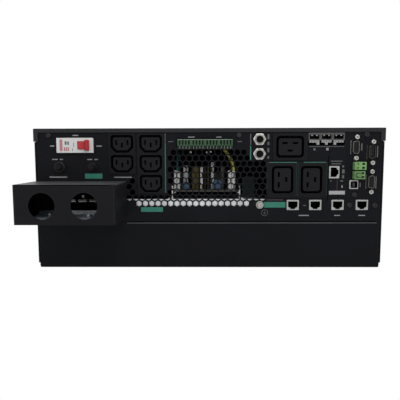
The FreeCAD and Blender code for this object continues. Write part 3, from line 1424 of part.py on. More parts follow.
def wire_lugs():
    """Plated lugs under the rear panel's top fold, where the two loose wires end."""
    lugs = []
    for x, y in ((EARTH_WIRE_X, EARTH_WIRE_Y), (NEUTRAL_WIRE_X, NEUTRAL_WIRE_Y)):
        lugs.append(box(x - 4, x + 4, PANEL_BACK_Y + 1, REAR_Y + y + 4,
                        wire_lug_z(), wire_lug_z() + LUG_THICK))
    return lugs


def earth_wire():
    """Yellow and green earth wire from a white sleeve up to its lug."""
    y0 = REAR_Y + SLEEVE_DEPTH + SLEEVE_THICK / 2
    points = [
        vec(31.3, y0, SLEEVE_TOP_Z),
        vec(31.3, y0, SLEEVE_TOP_Z + 8.3),
        vec(25.4, y0 + 1.5, SLEEVE_TOP_Z + 20.3),
        vec(15.8, y0 + 3.0, SLEEVE_TOP_Z + 31.4),
        vec(EARTH_WIRE_X, REAR_Y + EARTH_WIRE_Y, SLEEVE_TOP_Z + 40.3),
        vec(EARTH_WIRE_X, REAR_Y + EARTH_WIRE_Y, wire_lug_z()),
    ]
    return tube(points, EARTH_WIRE_RADIUS)


def neutral_wire():
    """Thin blue-green wire from a white sleeve up to its lug."""
    y0 = REAR_Y + SLEEVE_DEPTH + SLEEVE_THICK / 2
    points = [
        vec(-38.2, y0, SLEEVE_TOP_Z),
        vec(-38.2, y0, SLEEVE_TOP_Z + 13.8),
        vec(-37.6, y0 + 2.6, SLEEVE_TOP_Z + 26.8),
        vec(NEUTRAL_WIRE_X, REAR_Y + NEUTRAL_WIRE_Y, SLEEVE_TOP_Z + 38.8),
        vec(NEUTRAL_WIRE_X, REAR_Y + NEUTRAL_WIRE_Y, wire_lug_z()),
    ]
    return tube(points, NEUTRAL_WIRE_RADIUS)


def stop_jumper():
    """Short wire that bridges the two entries of the lower stop plug."""
    front = REAR_Y - STOP_PROUD
    x = STOP_X + 4.0
    high = STOP_LOWER_Z + STOP_HEIGHT / 4
    low = STOP_LOWER_Z - STOP_HEIGHT / 4
    points = [
        vec(x, front + 4, high),
        vec(x - 0.2, front - 1.6, high),
        vec(x - 4.5, front - 3.4, high + 0.5),
        vec(x - 10.5, front - 2.6, high - 0.3),
        vec(x - 11.0, front - 2.4, low + 0.5),
        vec(x - 5.0, front - 3.2, low - 0.4),
        vec(x - 0.2, front - 1.6, low),
        vec(x, front + 4, low),
    ]
    return tube(points, JUMPER_RADIUS)


# Power electronics

def standoffs():
    """Posts pressed into the tray that carry the main board."""
    posts = []
    for x in (-MAIN_HALF_WIDTH + FLANGE, 0, MAIN_HALF_WIDTH - FLANGE):
        for y in (MAIN_Y0 + FLANGE, MAIN_Y1 - FLANGE):
            outline = corners(x, y, STANDOFF_RADIUS, SHANK_SIDES)
            posts.append(prism_z(outline, SHEET, SHEET + STANDOFF_HEIGHT))
    return posts


def main_board():
    """Main power board with its power modules."""
    z0 = SHEET + STANDOFF_HEIGHT
    board = box(-MAIN_HALF_WIDTH, MAIN_HALF_WIDTH, MAIN_Y0, MAIN_Y1, z0, z0 + MAIN_BOARD_THICK)
    return Part.makeCompound([board] + power_modules())


def heat_sink(side):
    """Extruded heat sink: a thick back and a row of fins that point outwards."""
    x0 = side * HEAT_SINK_X
    back = HEAT_SINK_BACK
    points = [(x0, MAIN_TOP_Z), (x0, MAIN_TOP_Z + HEAT_SINK_HEIGHT)]
    pitch = (HEAT_SINK_HEIGHT - HEAT_SINK_FIN) / (HEAT_SINK_FINS - 1)
    for k in range(HEAT_SINK_FINS - 1, -1, -1):
        z = MAIN_TOP_Z + k * pitch
        root = x0 + side * back
        tip = x0 + side * (back + HEAT_SINK_REACH)
        points.append((tip, z + HEAT_SINK_FIN))
        points.append((tip, z))
        if k > 0:
            points.append((root, z))
            points.append((root, z - pitch + HEAT_SINK_FIN))
    return prism_y(points, HEAT_SINK_Y0, HEAT_SINK_Y0 + HEAT_SINK_LENGTH)


def power_modules():
    """Power transistors clamped to the inner faces of the heat sinks."""
    modules = []
    for side in (-1, 1):
        for k in range(MODULE_COUNT):
            y = HEAT_SINK_Y0 + MODULE_LENGTH / 2 + k * MODULE_PITCH
            inner = side * HEAT_SINK_X
            outer = side * (HEAT_SINK_X - MODULE_THICK)
            modules.append(box(min(inner, outer), max(inner, outer), y, y + MODULE_LENGTH,
                               MAIN_TOP_Z, MAIN_TOP_Z + MODULE_HEIGHT))
    return modules


def dc_capacitors():
    """Large capacitors in two rows on the main board."""
    cans = []
    for x in (-CAPACITOR_RADIUS - 1, CAPACITOR_RADIUS + 1):
        for k in range(CAPACITOR_ROWS):
            y = HEAT_SINK_Y0 + CAPACITOR_RADIUS + k * (2 * CAPACITOR_RADIUS + CAPACITOR_GAP)
            outline = corners(x, y, CAPACITOR_RADIUS, EARTH_SIDES)
            cans.append(prism_z(outline, MAIN_TOP_Z, MAIN_TOP_Z + CAPACITOR_HEIGHT))
    return Part.makeCompound(cans)


def power_chokes():
    """Two ring chokes standing on the main board."""
    rings = []
    for side in (-1, 1):
        x = side * CHOKE_X
        y = MAIN_Y0 + CHOKE_THICK
        z = MAIN_TOP_Z + CHOKE_RADIUS
        ring = prism_y(corners(x, z, CHOKE_RADIUS, DISC_SIDES), y, y + CHOKE_THICK)
        foot = box(x - CHOKE_FOOT_WIDTH / 2, x + CHOKE_FOOT_WIDTH / 2, y, y + CHOKE_THICK,
                   MAIN_TOP_Z, MAIN_TOP_Z + CHOKE_FOOT_HEIGHT)
        hole = prism_y(corners(x, z, CHOKE_RADIUS / 2, DISC_SIDES), y - 1, y + CHOKE_THICK + 1)
        rings.append(fuse_all([ring, foot]).cut(hole))
    return Part.makeCompound(rings)


def control_board():
    """Upright control board with its connectors, standing on the main board."""
    x0 = CONTROL_X
    end = CONTROL_Y0 + CONTROL_LENGTH
    parts = [box(x0, x0 + BOARD_THICK, CONTROL_Y0, end, MAIN_TOP_Z + 4, MAIN_TOP_Z + CONTROL_HEIGHT)]
    for k in (0.15, 0.75):
        y = CONTROL_Y0 + k * CONTROL_LENGTH
        parts.append(box(x0 - 6, x0 + BOARD_THICK, y, y + 18, MAIN_TOP_Z, MAIN_TOP_Z + 12))
    for k in (0.2, 0.5, 0.7):
        y = CONTROL_Y0 + k * CONTROL_LENGTH
        parts.append(box(x0 - 3, x0, y, y + 20, MAIN_TOP_Z + 40, MAIN_TOP_Z + 60))
    return fuse_all(parts)


# Mid bulkhead with fans

def fan_xs():
    """Return the middle x of each fan."""
    return [-FAN_PITCH / 2, FAN_PITCH / 2]


def fan_opening(x, y0, y1):
    """Return the air opening of a fan."""
    return prism_y(corners(x, FAN_Z, FAN_BORE, FAN_SIDES), y0, y1)


def mid_bulkhead():
    """Sheet wall between the electronics and the batteries, with two fan openings."""
    narrow = PANEL_HALF - FLANGE
    wall = box(-PANEL_HALF, PANEL_HALF, BULKHEAD_Y, BULKHEAD_Y + SHEET, SHEET + BEND, TRAY_WALL_TOP - FIT)
    skirt = box(-narrow, narrow, BULKHEAD_Y, BULKHEAD_Y + SHEET, SHEET, SHEET + BEND)
    foot = box(-narrow, narrow, BULKHEAD_Y - FLANGE, BULKHEAD_Y, SHEET, 2 * SHEET)
    openings = [fan_opening(x, BULKHEAD_Y - 1, BULKHEAD_Y + SHEET + 1) for x in fan_xs()]
    return fuse_all([cut_all(fuse_all([wall, skirt, foot]), openings)] + battery_divider())


def fan_frames():
    """Square fan frames with four struts and a shaft pin."""
    frames = []
    y1 = BULKHEAD_Y
    y0 = y1 - FAN_DEPTH
    for x in fan_xs():
        frame = centred_y(x, FAN_Z, FAN_SIZE, FAN_SIZE, y0, y1)
        frame = frame.cut(fan_opening(x, y0 - 1, y1 + 1))
        seat = prism_y(corners(x, FAN_Z, FAN_HUB - 1, DISC_SIDES), y0, y0 + FAN_STRUT)
        parts = [frame, seat, rod_y(x, FAN_Z, FAN_PIN, y0, y1 - 3)]
        for angle in (45, 135):
            strut = centred_y(x, FAN_Z, 2 * FAN_BORE + 2, FAN_STRUT, y0, y0 + FAN_STRUT)
            strut.rotate(vec(x, 0, FAN_Z), vec(0, 1, 0), angle)
            parts.append(strut)
        frames.append(fuse_all(parts))
    return Part.makeCompound(frames)


def fan_rotor(x):
    """Fan hub with tilted blades, bored for the shaft pin."""
    y0 = BULKHEAD_Y - FAN_DEPTH + FAN_STRUT + FAN_END_GAP
    y1 = BULKHEAD_Y - 2.0
    middle = (y0 + y1) / 2
    half = FAN_BLADE_WIDTH / 2
    tip = math.sqrt((FAN_BORE - FAN_TIP_GAP) ** 2 - half ** 2)
    parts = [prism_y(corners(x, FAN_Z, FAN_HUB, 2 * FAN_BLADES), y0, y1)]
    for k in range(FAN_BLADES):
        blade = box(x + FAN_HUB - 3, x + tip, middle - FAN_BLADE / 2, middle + FAN_BLADE / 2,
                    FAN_Z - half, FAN_Z + half)
        blade.rotate(vec(x, middle, FAN_Z), vec(1, 0, 0), FAN_BLADE_TILT)
        blade.rotate(vec(x, 0, FAN_Z), vec(0, 1, 0), (k + 0.25) * 360 / FAN_BLADES)
        parts.append(blade)
    rotor = fuse_all(parts)
    return rotor.cut(rod_y(x, FAN_Z, FAN_PIN + RUNNING, y0 - 1, y1 + 1))


# Batteries

def battery_x0(side):
    """Return the low x of a battery pack on the given side."""
    return BATTERY_GAP / 2 + SHEET / 2 if side > 0 else -BATTERY_GAP / 2 - SHEET / 2 - BATTERY_WIDTH


def battery_pack(side):
    """Sealed battery pack with a recessed grip in its front."""
    x0 = battery_x0(side)
    z0 = SHEET
    y1 = BATTERY_BACK_Y + BATTERY_DEPTH
    pack = box(x0, x0 + BATTERY_WIDTH, BATTERY_BACK_Y, y1, z0, z0 + BATTERY_HEIGHT)
    pack = round_along(pack, vec(0, 1, 0), 3.0, lambda p: p.z > z0 + 1)
    cx = x0 + BATTERY_WIDTH / 2
    cz = z0 + BATTERY_HEIGHT * 0.6
    pack = pack.cut(pad_y(cx, cz, GRIP_WIDTH, GRIP_HEIGHT, GRIP_BAR, y1 - GRIP_DEPTH, y1 + 1))
    grip = centred_y(cx, cz, GRIP_WIDTH + 2, 1.6 * GRIP_BAR, y1 - GRIP_BAR, y1)
    return fuse_all([pack, grip])


def battery_divider():
    """Folded sheet that runs forward from the bulkhead between the two battery packs."""
    half = SHEET / 2
    y1 = BATTERY_BACK_Y + BATTERY_DEPTH
    y0 = BULKHEAD_Y + SHEET
    top = SHEET + BATTERY_HEIGHT + FIT
    return [box(-half, half, y0, y1, SHEET, top + SHEET), box(-FLANGE, FLANGE, y0, y1, top, top + SHEET)]


# Front bezel

def door_x(side):
    """Return the middle x of a battery door."""
    return side * (HALF_LID - BEZEL_EDGE - DOOR_GAP - DOOR_WIDTH / 2)


def door_z():
    """Return the middle height of the battery doors and the bezel."""
    return CASE_HEIGHT / 2


def display_face_y():
    """Return Y of the display panel's face."""
    return FRONT_Y + BEZEL_DEPTH - 2.0


def front_bezel():
    """Moulded bezel frame with openings for two doors and the display."""
    front = FRONT_Y + BEZEL_DEPTH
    shell = box(-HALF_LID, HALF_LID, FRONT_Y, front, 0, CASE_HEIGHT)
    shell = round_along(shell, vec(1, 0, 0), 5.0, lambda p: p.y > front - 1)
    shell = round_along(shell, vec(0, 0, 1), 4.0, lambda p: p.y > front - 1)
    wall = BEZEL_WALL
    inner = box(-HALF_LID + wall, HALF_LID - wall, FRONT_Y - 1, front - wall, wall, CASE_HEIGHT - wall)
    tools = [inner]
    for side in (-1, 1):
        half = DOOR_WIDTH / 2 + DOOR_GAP
        height = DOOR_HEIGHT / 2 + DOOR_GAP
        tools.append(centred_y(door_x(side), door_z(), 2 * half, 2 * height, front - 10, front + 1))
    gap = 2 * DOOR_GAP
    tools.append(centred_y(0, DISPLAY_Z, DISPLAY_WIDTH + gap, DISPLAY_HEIGHT + gap, front - 10, front + 1))
    frame = cut_all(shell, tools)
    ledges = []
    ledge_y = front - DOOR_THICK - wall
    for side in (-1, 1):
        half = DOOR_WIDTH / 2 + DOOR_GAP
        low = door_z() - DOOR_HEIGHT / 2 + LEDGE
        high = door_z() + DOOR_HEIGHT / 2 - LEDGE
        for z0, z1 in ((wall, low), (high, CASE_HEIGHT - wall)):
            ledges.append(box(door_x(side) - half, door_x(side) + half, ledge_y, ledge_y + wall, z0, z1))
    return fuse_all([frame] + ledges)


def battery_door(side):
    """Louvred battery door that clips into the bezel."""
    front = FRONT_Y + BEZEL_DEPTH
    cx = door_x(side)
    door = pad_y(cx, door_z(), DOOR_WIDTH, DOOR_HEIGHT, DOOR_RADIUS, front - DOOR_THICK, front)
    louvres = []
    width = DOOR_WIDTH - 2 * LOUVRE_MARGIN
    count = int((DOOR_HEIGHT - 3 * LOUVRE_PITCH) / LOUVRE_PITCH)
    start = door_z() - (count - 1) * LOUVRE_PITCH / 2
    for k in range(count):
        z = start + k * LOUVRE_PITCH
        louvres.append(slot_y(cx, z, width, LOUVRE_HEIGHT, front - LOUVRE_DEPTH, front + 1))
    return cut_all(door, louvres)


def menu_key_places():
    """Return (x, z) of the three menu keys under the screen."""
    z = DISPLAY_Z - DISPLAY_HEIGHT / 2 + MENU_KEY_RISE
    return [((k - 1) * MENU_KEY_PITCH, z) for k in range(3)]


def power_key_place():
    """Return (x, z) of the power key."""
    return 0.0, DISPLAY_Z - DISPLAY_HEIGHT / 2 + POWER_KEY_RISE


def screen_z():
    """Return the middle height of the screen."""
    return DISPLAY_Z + DISPLAY_HEIGHT / 2 - SCREEN_TOP_GAP - SCREEN_HEIGHT / 2


def display_module():
    """Display housing with a screen recess and guide holes for its keys."""
    front = display_face_y()
    body = pad_y(0, DISPLAY_Z, DISPLAY_WIDTH, DISPLAY_HEIGHT, 3.0, FRONT_Y, front)
    gap = 2 * SCREEN_FIT
    tools = [centred_y(0, screen_z(), SCREEN_WIDTH + gap, SCREEN_HEIGHT + gap,
                       front - SCREEN_RECESS, front + 1)]
    places = [(x, z, MENU_KEY_RADIUS) for x, z in menu_key_places()]
    places.append((*power_key_place(), POWER_KEY_RADIUS))
    deep = front - KEY_DEPTH - KEY_TRAVEL - FIT
    for x, z, radius in places:
        tools.append(prism_y(key_outline(x, z, radius + KEY_FIT), deep, front + 1))
    return cut_all(body, tools)


def screen():
    """Clear window of the display."""
    front = display_face_y()
    return centred_y(0, screen_z(), SCREEN_WIDTH, SCREEN_HEIGHT,
                     front - SCREEN_RECESS, front - 2 * SCREEN_FIT)


def key_outline(x, z, radius):
    """Return the eight-sided outline of a key or of its guide hole."""
    return corners(x, z, radius, KEY_SIDES, 22.5)


def key(x, z, radius):
    """Eight-sided push key with a bevelled rim."""
    front = display_face_y() + KEY_PROUD
    cap = prism_y(key_outline(x, z, radius), display_face_y() - KEY_DEPTH, front)
    return cap.makeChamfer(0.5, [e for e in cap.Edges if e.BoundBox.YMin > front - 0.1])


def socket_contacts():
    """Metal contacts inside the smaller mains sockets and the data sockets."""
    pieces = data_contacts()
    for x, _, _, count in small_block_spans():
        pieces.extend(small_contacts(count, x))
    return Part.makeCompound(pieces)


def case_screws():
    """Screws of the lid, the rear panel and the wiring box."""
    return Part.makeCompound(lid_screws() + rear_screws() + wiring_box_screws())


def build():
    """Return every piece by name."""
    nodes = {
        "chassis_tray": chassis_tray(),
        "top_cover": top_cover(),
        "rear_panel": rear_panel(),
        "case_screws": case_screws(),
        "wiring_box_body": wiring_box_body(),
        "wiring_box_cover": wiring_box_cover(),
        "wiring_box_base": wiring_box_base(),
        "input_terminal_block": input_terminal_block(),
        "terminal_clamps": Part.makeCompound(terminal_clamps() + signal_screws() + wire_lugs()),
        "socket_contacts": socket_contacts(),
        "large_outlet_top": large_single(),
        "large_outlet_pair": large_pair(),
        "breaker_body": breaker_body(),
        "breaker_lever": breaker_lever(),
        "reset_breakers": reset_breakers(),
        "ring_nuts": Part.makeCompound([
            ring_nut(RESET_LEFT_X, RESET_Z, RESET_NUT_LEFT, RESET_BUSHING),
            ring_nut(RESET_RIGHT_X, RESET_Z, RESET_NUT_RIGHT, RESET_BUSHING),
        ]),
        "hex_nuts": Part.makeCompound([hex_nut(CHARGER_X, CHARGER_Z + k * CHARGER_PITCH) for k in range(2)]),
        "signal_plugs": Part.makeCompound(signal_headers() + signal_plugs()),
        "port_shell": port_shell(),
        "port_tongues": port_tongues(),
        "serial_shells": serial_shells(),
        "serial_inserts": serial_inserts(),
        "jack_screws": jack_screws(),
        "data_jacks": data_jacks(),
        "network_card": network_card(),
        "square_socket": square_socket(),
        "stop_plugs": stop_plugs(),
        "earth_screw": earth_screw(),
        "filter_tray": filter_tray(),
        "filter_brackets": filter_brackets(),
        "filter_board": Part.makeCompound([filter_board()] + filter_relays()),
        "film_capacitors": film_capacitors(),
        "white_sleeves": white_sleeves(),
        "surge_discs": surge_discs(),
        "filter_choke": filter_choke(),
        "hook_up_wires": Part.makeCompound([earth_wire(), neutral_wire(), stop_jumper()]),
        "main_board": main_board(),
        "heat_sinks": Part.makeCompound([heat_sink(-1), heat_sink(1)]),
        "dc_capacitors": dc_capacitors(),
        "power_chokes": power_chokes(),
        "control_board": control_board(),
        "mid_bulkhead": mid_bulkhead(),
        "fan_frames": fan_frames(),
        "battery_packs": Part.makeCompound([battery_pack(-1), battery_pack(1)]),
        "front_bezel": front_bezel(),
        "battery_doors": Part.makeCompound([battery_door(-1), battery_door(1)]),
        "display_module": display_module(),
        "display_screen": screen(),
    }
    for name, span in zip(("left", "right"), small_block_spans()):
        nodes["outlet_block_" + name] = small_block(*span)
    for name, x, z, _, button in reset_places():
        nodes["reset_button_" + name] = reset_button(x, z, button)
    for name, x in zip(("left", "right"), fan_xs()):
        nodes["fan_rotor_" + name] = fan_rotor(x)
    for name, (x, z) in zip(("left", "middle", "right"), menu_key_places()):
        nodes["menu_key_" + name] = key(x, z, MENU_KEY_RADIUS)
    x, z = power_key_place()
    nodes["power_key"] = key(x, z, POWER_KEY_RADIUS)
    return nodes


def main():
    """Build every piece and write one file for each."""
    os.makedirs("parts", exist_ok=True)
    for name, shape in build().items():
        shape.exportStep("parts/" + name + ".step")


main()
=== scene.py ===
"""Look of the online uninterruptible power supply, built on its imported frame.

Lengths are in millimetres and are turned into metres when a mesh is made; lamps are placed in metres.
X runs to the right along the rear panel, Y runs into the case and Z is up.
"""

import logging
import math
from dataclasses import dataclass
from enum import Enum
from typing import Any, Callable, Iterable, Sequence

import bmesh
import bpy
import numpy as np
from mathutils import Matrix, Vector
from mathutils.geometry import delaunay_2d_cdt


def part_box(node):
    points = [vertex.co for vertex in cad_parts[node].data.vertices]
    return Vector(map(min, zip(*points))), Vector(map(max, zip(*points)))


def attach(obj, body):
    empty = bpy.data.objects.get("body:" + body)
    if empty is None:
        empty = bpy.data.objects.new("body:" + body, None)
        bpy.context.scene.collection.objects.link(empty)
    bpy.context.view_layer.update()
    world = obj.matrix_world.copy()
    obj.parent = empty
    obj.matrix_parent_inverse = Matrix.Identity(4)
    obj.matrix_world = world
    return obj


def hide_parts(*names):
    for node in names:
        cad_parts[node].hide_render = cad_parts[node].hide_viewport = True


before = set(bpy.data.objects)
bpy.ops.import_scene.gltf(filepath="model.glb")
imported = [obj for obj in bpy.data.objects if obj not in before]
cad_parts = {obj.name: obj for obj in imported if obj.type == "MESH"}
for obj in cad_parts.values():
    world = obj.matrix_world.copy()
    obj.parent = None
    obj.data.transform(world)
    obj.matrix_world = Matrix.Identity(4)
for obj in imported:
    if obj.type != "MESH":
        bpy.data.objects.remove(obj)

LOG = logging.getLogger("scene")
MM = 0.001
SHARP_ANGLE = 32.0
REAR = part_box("rear_panel")[0][1] / MM

Loop = np.ndarray
Shape = tuple[np.ndarray, list[tuple[int, ...]]]
Colour = tuple[float, float, float]
Link = Callable[..., bpy.types.NodeLink]


# Finishes

@dataclass(frozen=True)
class Finish:
    """Colour and surface of one material.

    Attributes:
        colour: Linear base colour.
        roughness: Middle roughness.
        grain: Kind of fine structure.
        metallic: 1 for bare metal.
        scale: Grains for each metre.
        depth: Height of the grain.
        spread: Share by which the colour varies.
        edge: How much lighter the edges are painted: a painted highlight along them.
        bevel: Radius of the softened edges.
        coat: Strength of a clear coat.
        soft: Share of light scattered under the surface.
        shine: Level of the mirror-like reflection; 0.5 is that of plain plastic.
    """

    colour: Colour
    roughness: float
    grain: "Grain"
    metallic: float = 0.0
    scale: float = 1400.0
    depth: float = 0.02
    spread: float = 0.08
    edge: float = 0.0
    bevel: float = 0.25
    coat: float = 0.0
    soft: float = 0.0
    shine: float = 0.5


class Grain(Enum):
    """Kinds of fine surface structure, each with the values that most of its finishes share."""

    POWDER = {"scale": 1500.0, "depth": 0.03, "spread": 0.16, "bevel": 0.7}
    SPANGLE = {"scale": 130.0, "depth": 0.01, "spread": 0.2}
    BRUSHED = {"scale": 900.0, "depth": 0.006, "spread": 0.1}
    MOULDED = {"scale": 1800.0, "depth": 0.01, "spread": 0.1}
    LAMINATE = {"scale": 600.0, "depth": 0.01, "spread": 0.2}
    SMOOTH = {"scale": 900.0, "depth": 0.0, "spread": 0.15}

    def finish(self, colour: Colour, roughness: float, **own: float) -> Finish:
        """Return a finish of this grain, with the values in which it differs from the others."""
        return Finish(colour, roughness, self, **{**self.value, **own})


class Look(Enum):
    """Every material of the object."""

    CASE = Grain.POWDER.finish((0.0085, 0.0087, 0.0108), 0.52, edge=0.03, shine=0.04)
    LID = Grain.POWDER.finish((0.008, 0.0082, 0.0098), 0.5, edge=0.04, shine=0.24)
    # Wiring box cover: the box's black paint made about three times lighter so its top reads lit: painted light.
    BOX_LID_LIT = Grain.POWDER.finish((0.03, 0.0305, 0.034), 0.46, edge=0.06, shine=0.36)
    PANEL = Grain.POWDER.finish((0.009, 0.0092, 0.0115), 0.5, edge=0.02, bevel=0.3, shine=0.04)
    BOX = Grain.POWDER.finish((0.0105, 0.0105, 0.012), 0.5, edge=0.03, shine=0.05)
    # Case paint made many times lighter for the strip on the tray's folded edge: painted highlight.
    FOLD_HIGHLIGHT = Grain.POWDER.finish((0.075, 0.078, 0.085), 0.4, depth=0.02, spread=0.12, bevel=0.3)
    # Near-black: painted shade where a dark block, floor or lining stands for the shade inside gaps, holes, recesses
    # and joints; also the terminal block in the wiring box, the knob's stem and the blocks behind the header's posts.
    GAP = Grain.MOULDED.finish((0.0015, 0.0015, 0.0018), 0.85, scale=1200, spread=0.2, shine=0.05)
    SHADED_STEEL = Grain.SPANGLE.finish((0.1, 0.13, 0.16), 0.55)
    # Galvanised floor made paler than bare steel so the dimly lit floor reads bright: painted light.
    BASE_STEEL_LIT = Grain.SPANGLE.finish((0.62, 0.72, 0.8), 0.45, metallic=0.2, shine=0.35)
    # Near-white steel for the lit part of the floor's turned-up edge and for the floor screws: painted light;
    # SHADED_STEEL is the painted-shade copy of the same sheet.
    BOX_STEEL_LIT = Grain.SPANGLE.finish((0.9, 0.93, 0.97), 0.45, metallic=0.1, spread=0.15, shine=0.4)
    GALVANISED = Grain.SPANGLE.finish((0.52, 0.53, 0.54), 0.38, metallic=1)
    PLATED = Grain.BRUSHED.finish((0.3696, 0.363, 0.3498), 0.34, metallic=1, depth=0.008, spread=0.12)
    NICKEL = Grain.BRUSHED.finish((0.5, 0.48, 0.44), 0.33, metallic=1, scale=700, spread=0.12)
    SHIELD = Grain.BRUSHED.finish((0.46, 0.44, 0.39), 0.42, metallic=0.35, scale=700)
    BLACK_STEEL = Grain.BRUSHED.finish((0.01, 0.01, 0.012), 0.36, metallic=0.4, depth=0.01, spread=0.2)
    SOCKET = Grain.MOULDED.finish((0.0105, 0.0106, 0.0118), 0.56, scale=2200, depth=0.018, edge=0.03, shine=0.05)
    SOCKET_PIN = Grain.BRUSHED.finish((0.045, 0.036, 0.022), 0.45, metallic=0.8, depth=0.004, spread=0.08)
    BREAKER = Grain.MOULDED.finish((0.64, 0.64, 0.62), 0.4, depth=0.008, spread=0.03, bevel=0.5)
    TOGGLE = Grain.MOULDED.finish((0.43, 0.02, 0.027), 0.34, scale=1500, depth=0.006, spread=0.08, bevel=0.6,
                                  shine=0.3)
    BUTTON = Grain.MOULDED.finish((0.0065, 0.0063, 0.0072), 0.4, shine=0.12)
    SIGNAL = Grain.MOULDED.finish((0.04, 0.096, 0.046), 0.42, shine=0.22)
    STOP = Grain.MOULDED.finish((0.155, 0.315, 0.105), 0.4, spread=0.08, shine=0.4)
    INSERT = Grain.MOULDED.finish((0.018, 0.018, 0.02), 0.45, scale=2000, spread=0.08, shine=0.25)
    BOARD = Grain.LAMINATE.finish((0.075, 0.072, 0.064), 0.45, shine=0.35)
    GREEN_BOARD = Grain.LAMINATE.finish((0.02, 0.1, 0.045), 0.38)
    FILM = Grain.SMOOTH.finish((0.088, 0.062, 0.008), 0.42, scale=300, depth=0.02, spread=0.25, bevel=0.8,
                               shine=0.22)
    SLEEVE = Grain.MOULDED.finish((0.72, 0.71, 0.68), 0.42, scale=900, spread=0.06, bevel=0.6, soft=0.15)
    GREY_SLEEVE = Grain.MOULDED.finish((0.46, 0.46, 0.46), 0.45, scale=900, spread=0.15, bevel=0.6)
    DISC = Grain.SMOOTH.finish((0.018, 0.062, 0.125), 0.3, scale=400, depth=0.02, coat=0.3, shine=0.3)
    CHOKE = Grain.BRUSHED.finish((0.0035, 0.0125, 0.008), 0.5, scale=500, depth=0.05, spread=0.3, shine=0.15)
    COPPER = Grain.BRUSHED.finish((0.4, 0.13, 0.05), 0.32, metallic=0.7, scale=450, depth=0.12, spread=0.3)
    CAN = Grain.SMOOTH.finish((0.012, 0.013, 0.03), 0.32, scale=300, depth=0.01, spread=0.1)
    EXTRUDED = Grain.BRUSHED.finish((0.03, 0.031, 0.034), 0.38, metallic=0.8, scale=500, depth=0.01)
    FAN = Grain.MOULDED.finish((0.012, 0.012, 0.013), 0.44, scale=1500, spread=0.08, bevel=0.5, shine=0.25)
    BATTERY = Grain.MOULDED.finish((0.05, 0.052, 0.055), 0.5, scale=1200, depth=0.02, spread=0.08, bevel=0.8)
    BEZEL = Grain.MOULDED.finish((0.011, 0.0112, 0.0125), 0.46, scale=1700, depth=0.03, edge=0.03, bevel=0.6,
                                 shine=0.25)
    DISPLAY = Grain.SMOOTH.finish((0.007, 0.007, 0.008), 0.12, scale=200, depth=0.002, spread=0.05, bevel=0.5,
                                  coat=0.6)
    SCREEN = Grain.SMOOTH.finish((0.006, 0.016, 0.028), 0.06, scale=200, depth=0.001, spread=0.05, coat=0.8)
    KEY = Grain.MOULDED.finish((0.16, 0.165, 0.17), 0.36, spread=0.08, bevel=0.4)
    TEAL_PRINT = Grain.SMOOTH.finish((0.0276, 0.1748, 0.1242), 0.5, spread=0.1, shine=0.3)
    TEAL_LINE = Grain.SMOOTH.finish((0.02, 0.12, 0.09), 0.5, spread=0.1)
    # Teal print darkened where it runs along the sides of the large outlets: print with painted shade.
    TEAL_SHADE = Grain.SMOOTH.finish((0.008, 0.026, 0.022), 0.5, spread=0.1, shine=0.2)
    PALE_PRINT = Grain.SMOOTH.finish((0.23, 0.23, 0.245), 0.55)
    FAINT_PRINT = Grain.SMOOTH.finish((0.085, 0.085, 0.09), 0.55)
    RED_PRINT = Grain.SMOOTH.finish((0.43, 0.165, 0.175), 0.5)
    DARK_PRINT = Grain.SMOOTH.finish((0.1, 0.1, 0.11), 0.5)
    WHITE_LABEL = Grain.SMOOTH.finish((0.34, 0.34, 0.35), 0.45, spread=0.08)
    CORE = Grain.MOULDED.finish((0.0125, 0.0125, 0.0138), 0.6, scale=2200, depth=0.02, edge=0.03, shine=0.06)
    GLOSS_BLACK = Grain.MOULDED.finish((0.006, 0.006, 0.0068), 0.26, scale=1500, depth=0.006, edge=0.02, shine=0.22)
    NUT = Grain.BRUSHED.finish((0.462, 0.448, 0.42), 0.3, metallic=0.9)
    CLAMP = Grain.BRUSHED.finish((0.18, 0.18, 0.18), 0.42, metallic=0.2, spread=0.15)
    CAP_WHITE = Grain.MOULDED.finish((0.9, 0.9, 0.88), 0.42, scale=1500, spread=0.06)
    CAP_BEIGE = Grain.MOULDED.finish((0.5, 0.46, 0.4), 0.45, scale=1500, spread=0.08)
    CAP_ROSE = Grain.MOULDED.finish((0.27, 0.19, 0.18), 0.45, scale=1500, spread=0.08)
    DEEP_BUTTON = Grain.MOULDED.finish((0.0035, 0.0032, 0.003), 0.6, shine=0.05)
    CAGE = Grain.BRUSHED.finish((0.0544, 0.0537, 0.053), 0.42, metallic=0.4, scale=700, depth=0.008, spread=0.2)
    # Plug green made much lighter for the thin ledge along each plug's top: painted highlight.
    SIGNAL_TOP_HIGHLIGHT = Grain.MOULDED.finish((0.22, 0.3, 0.22), 0.42)
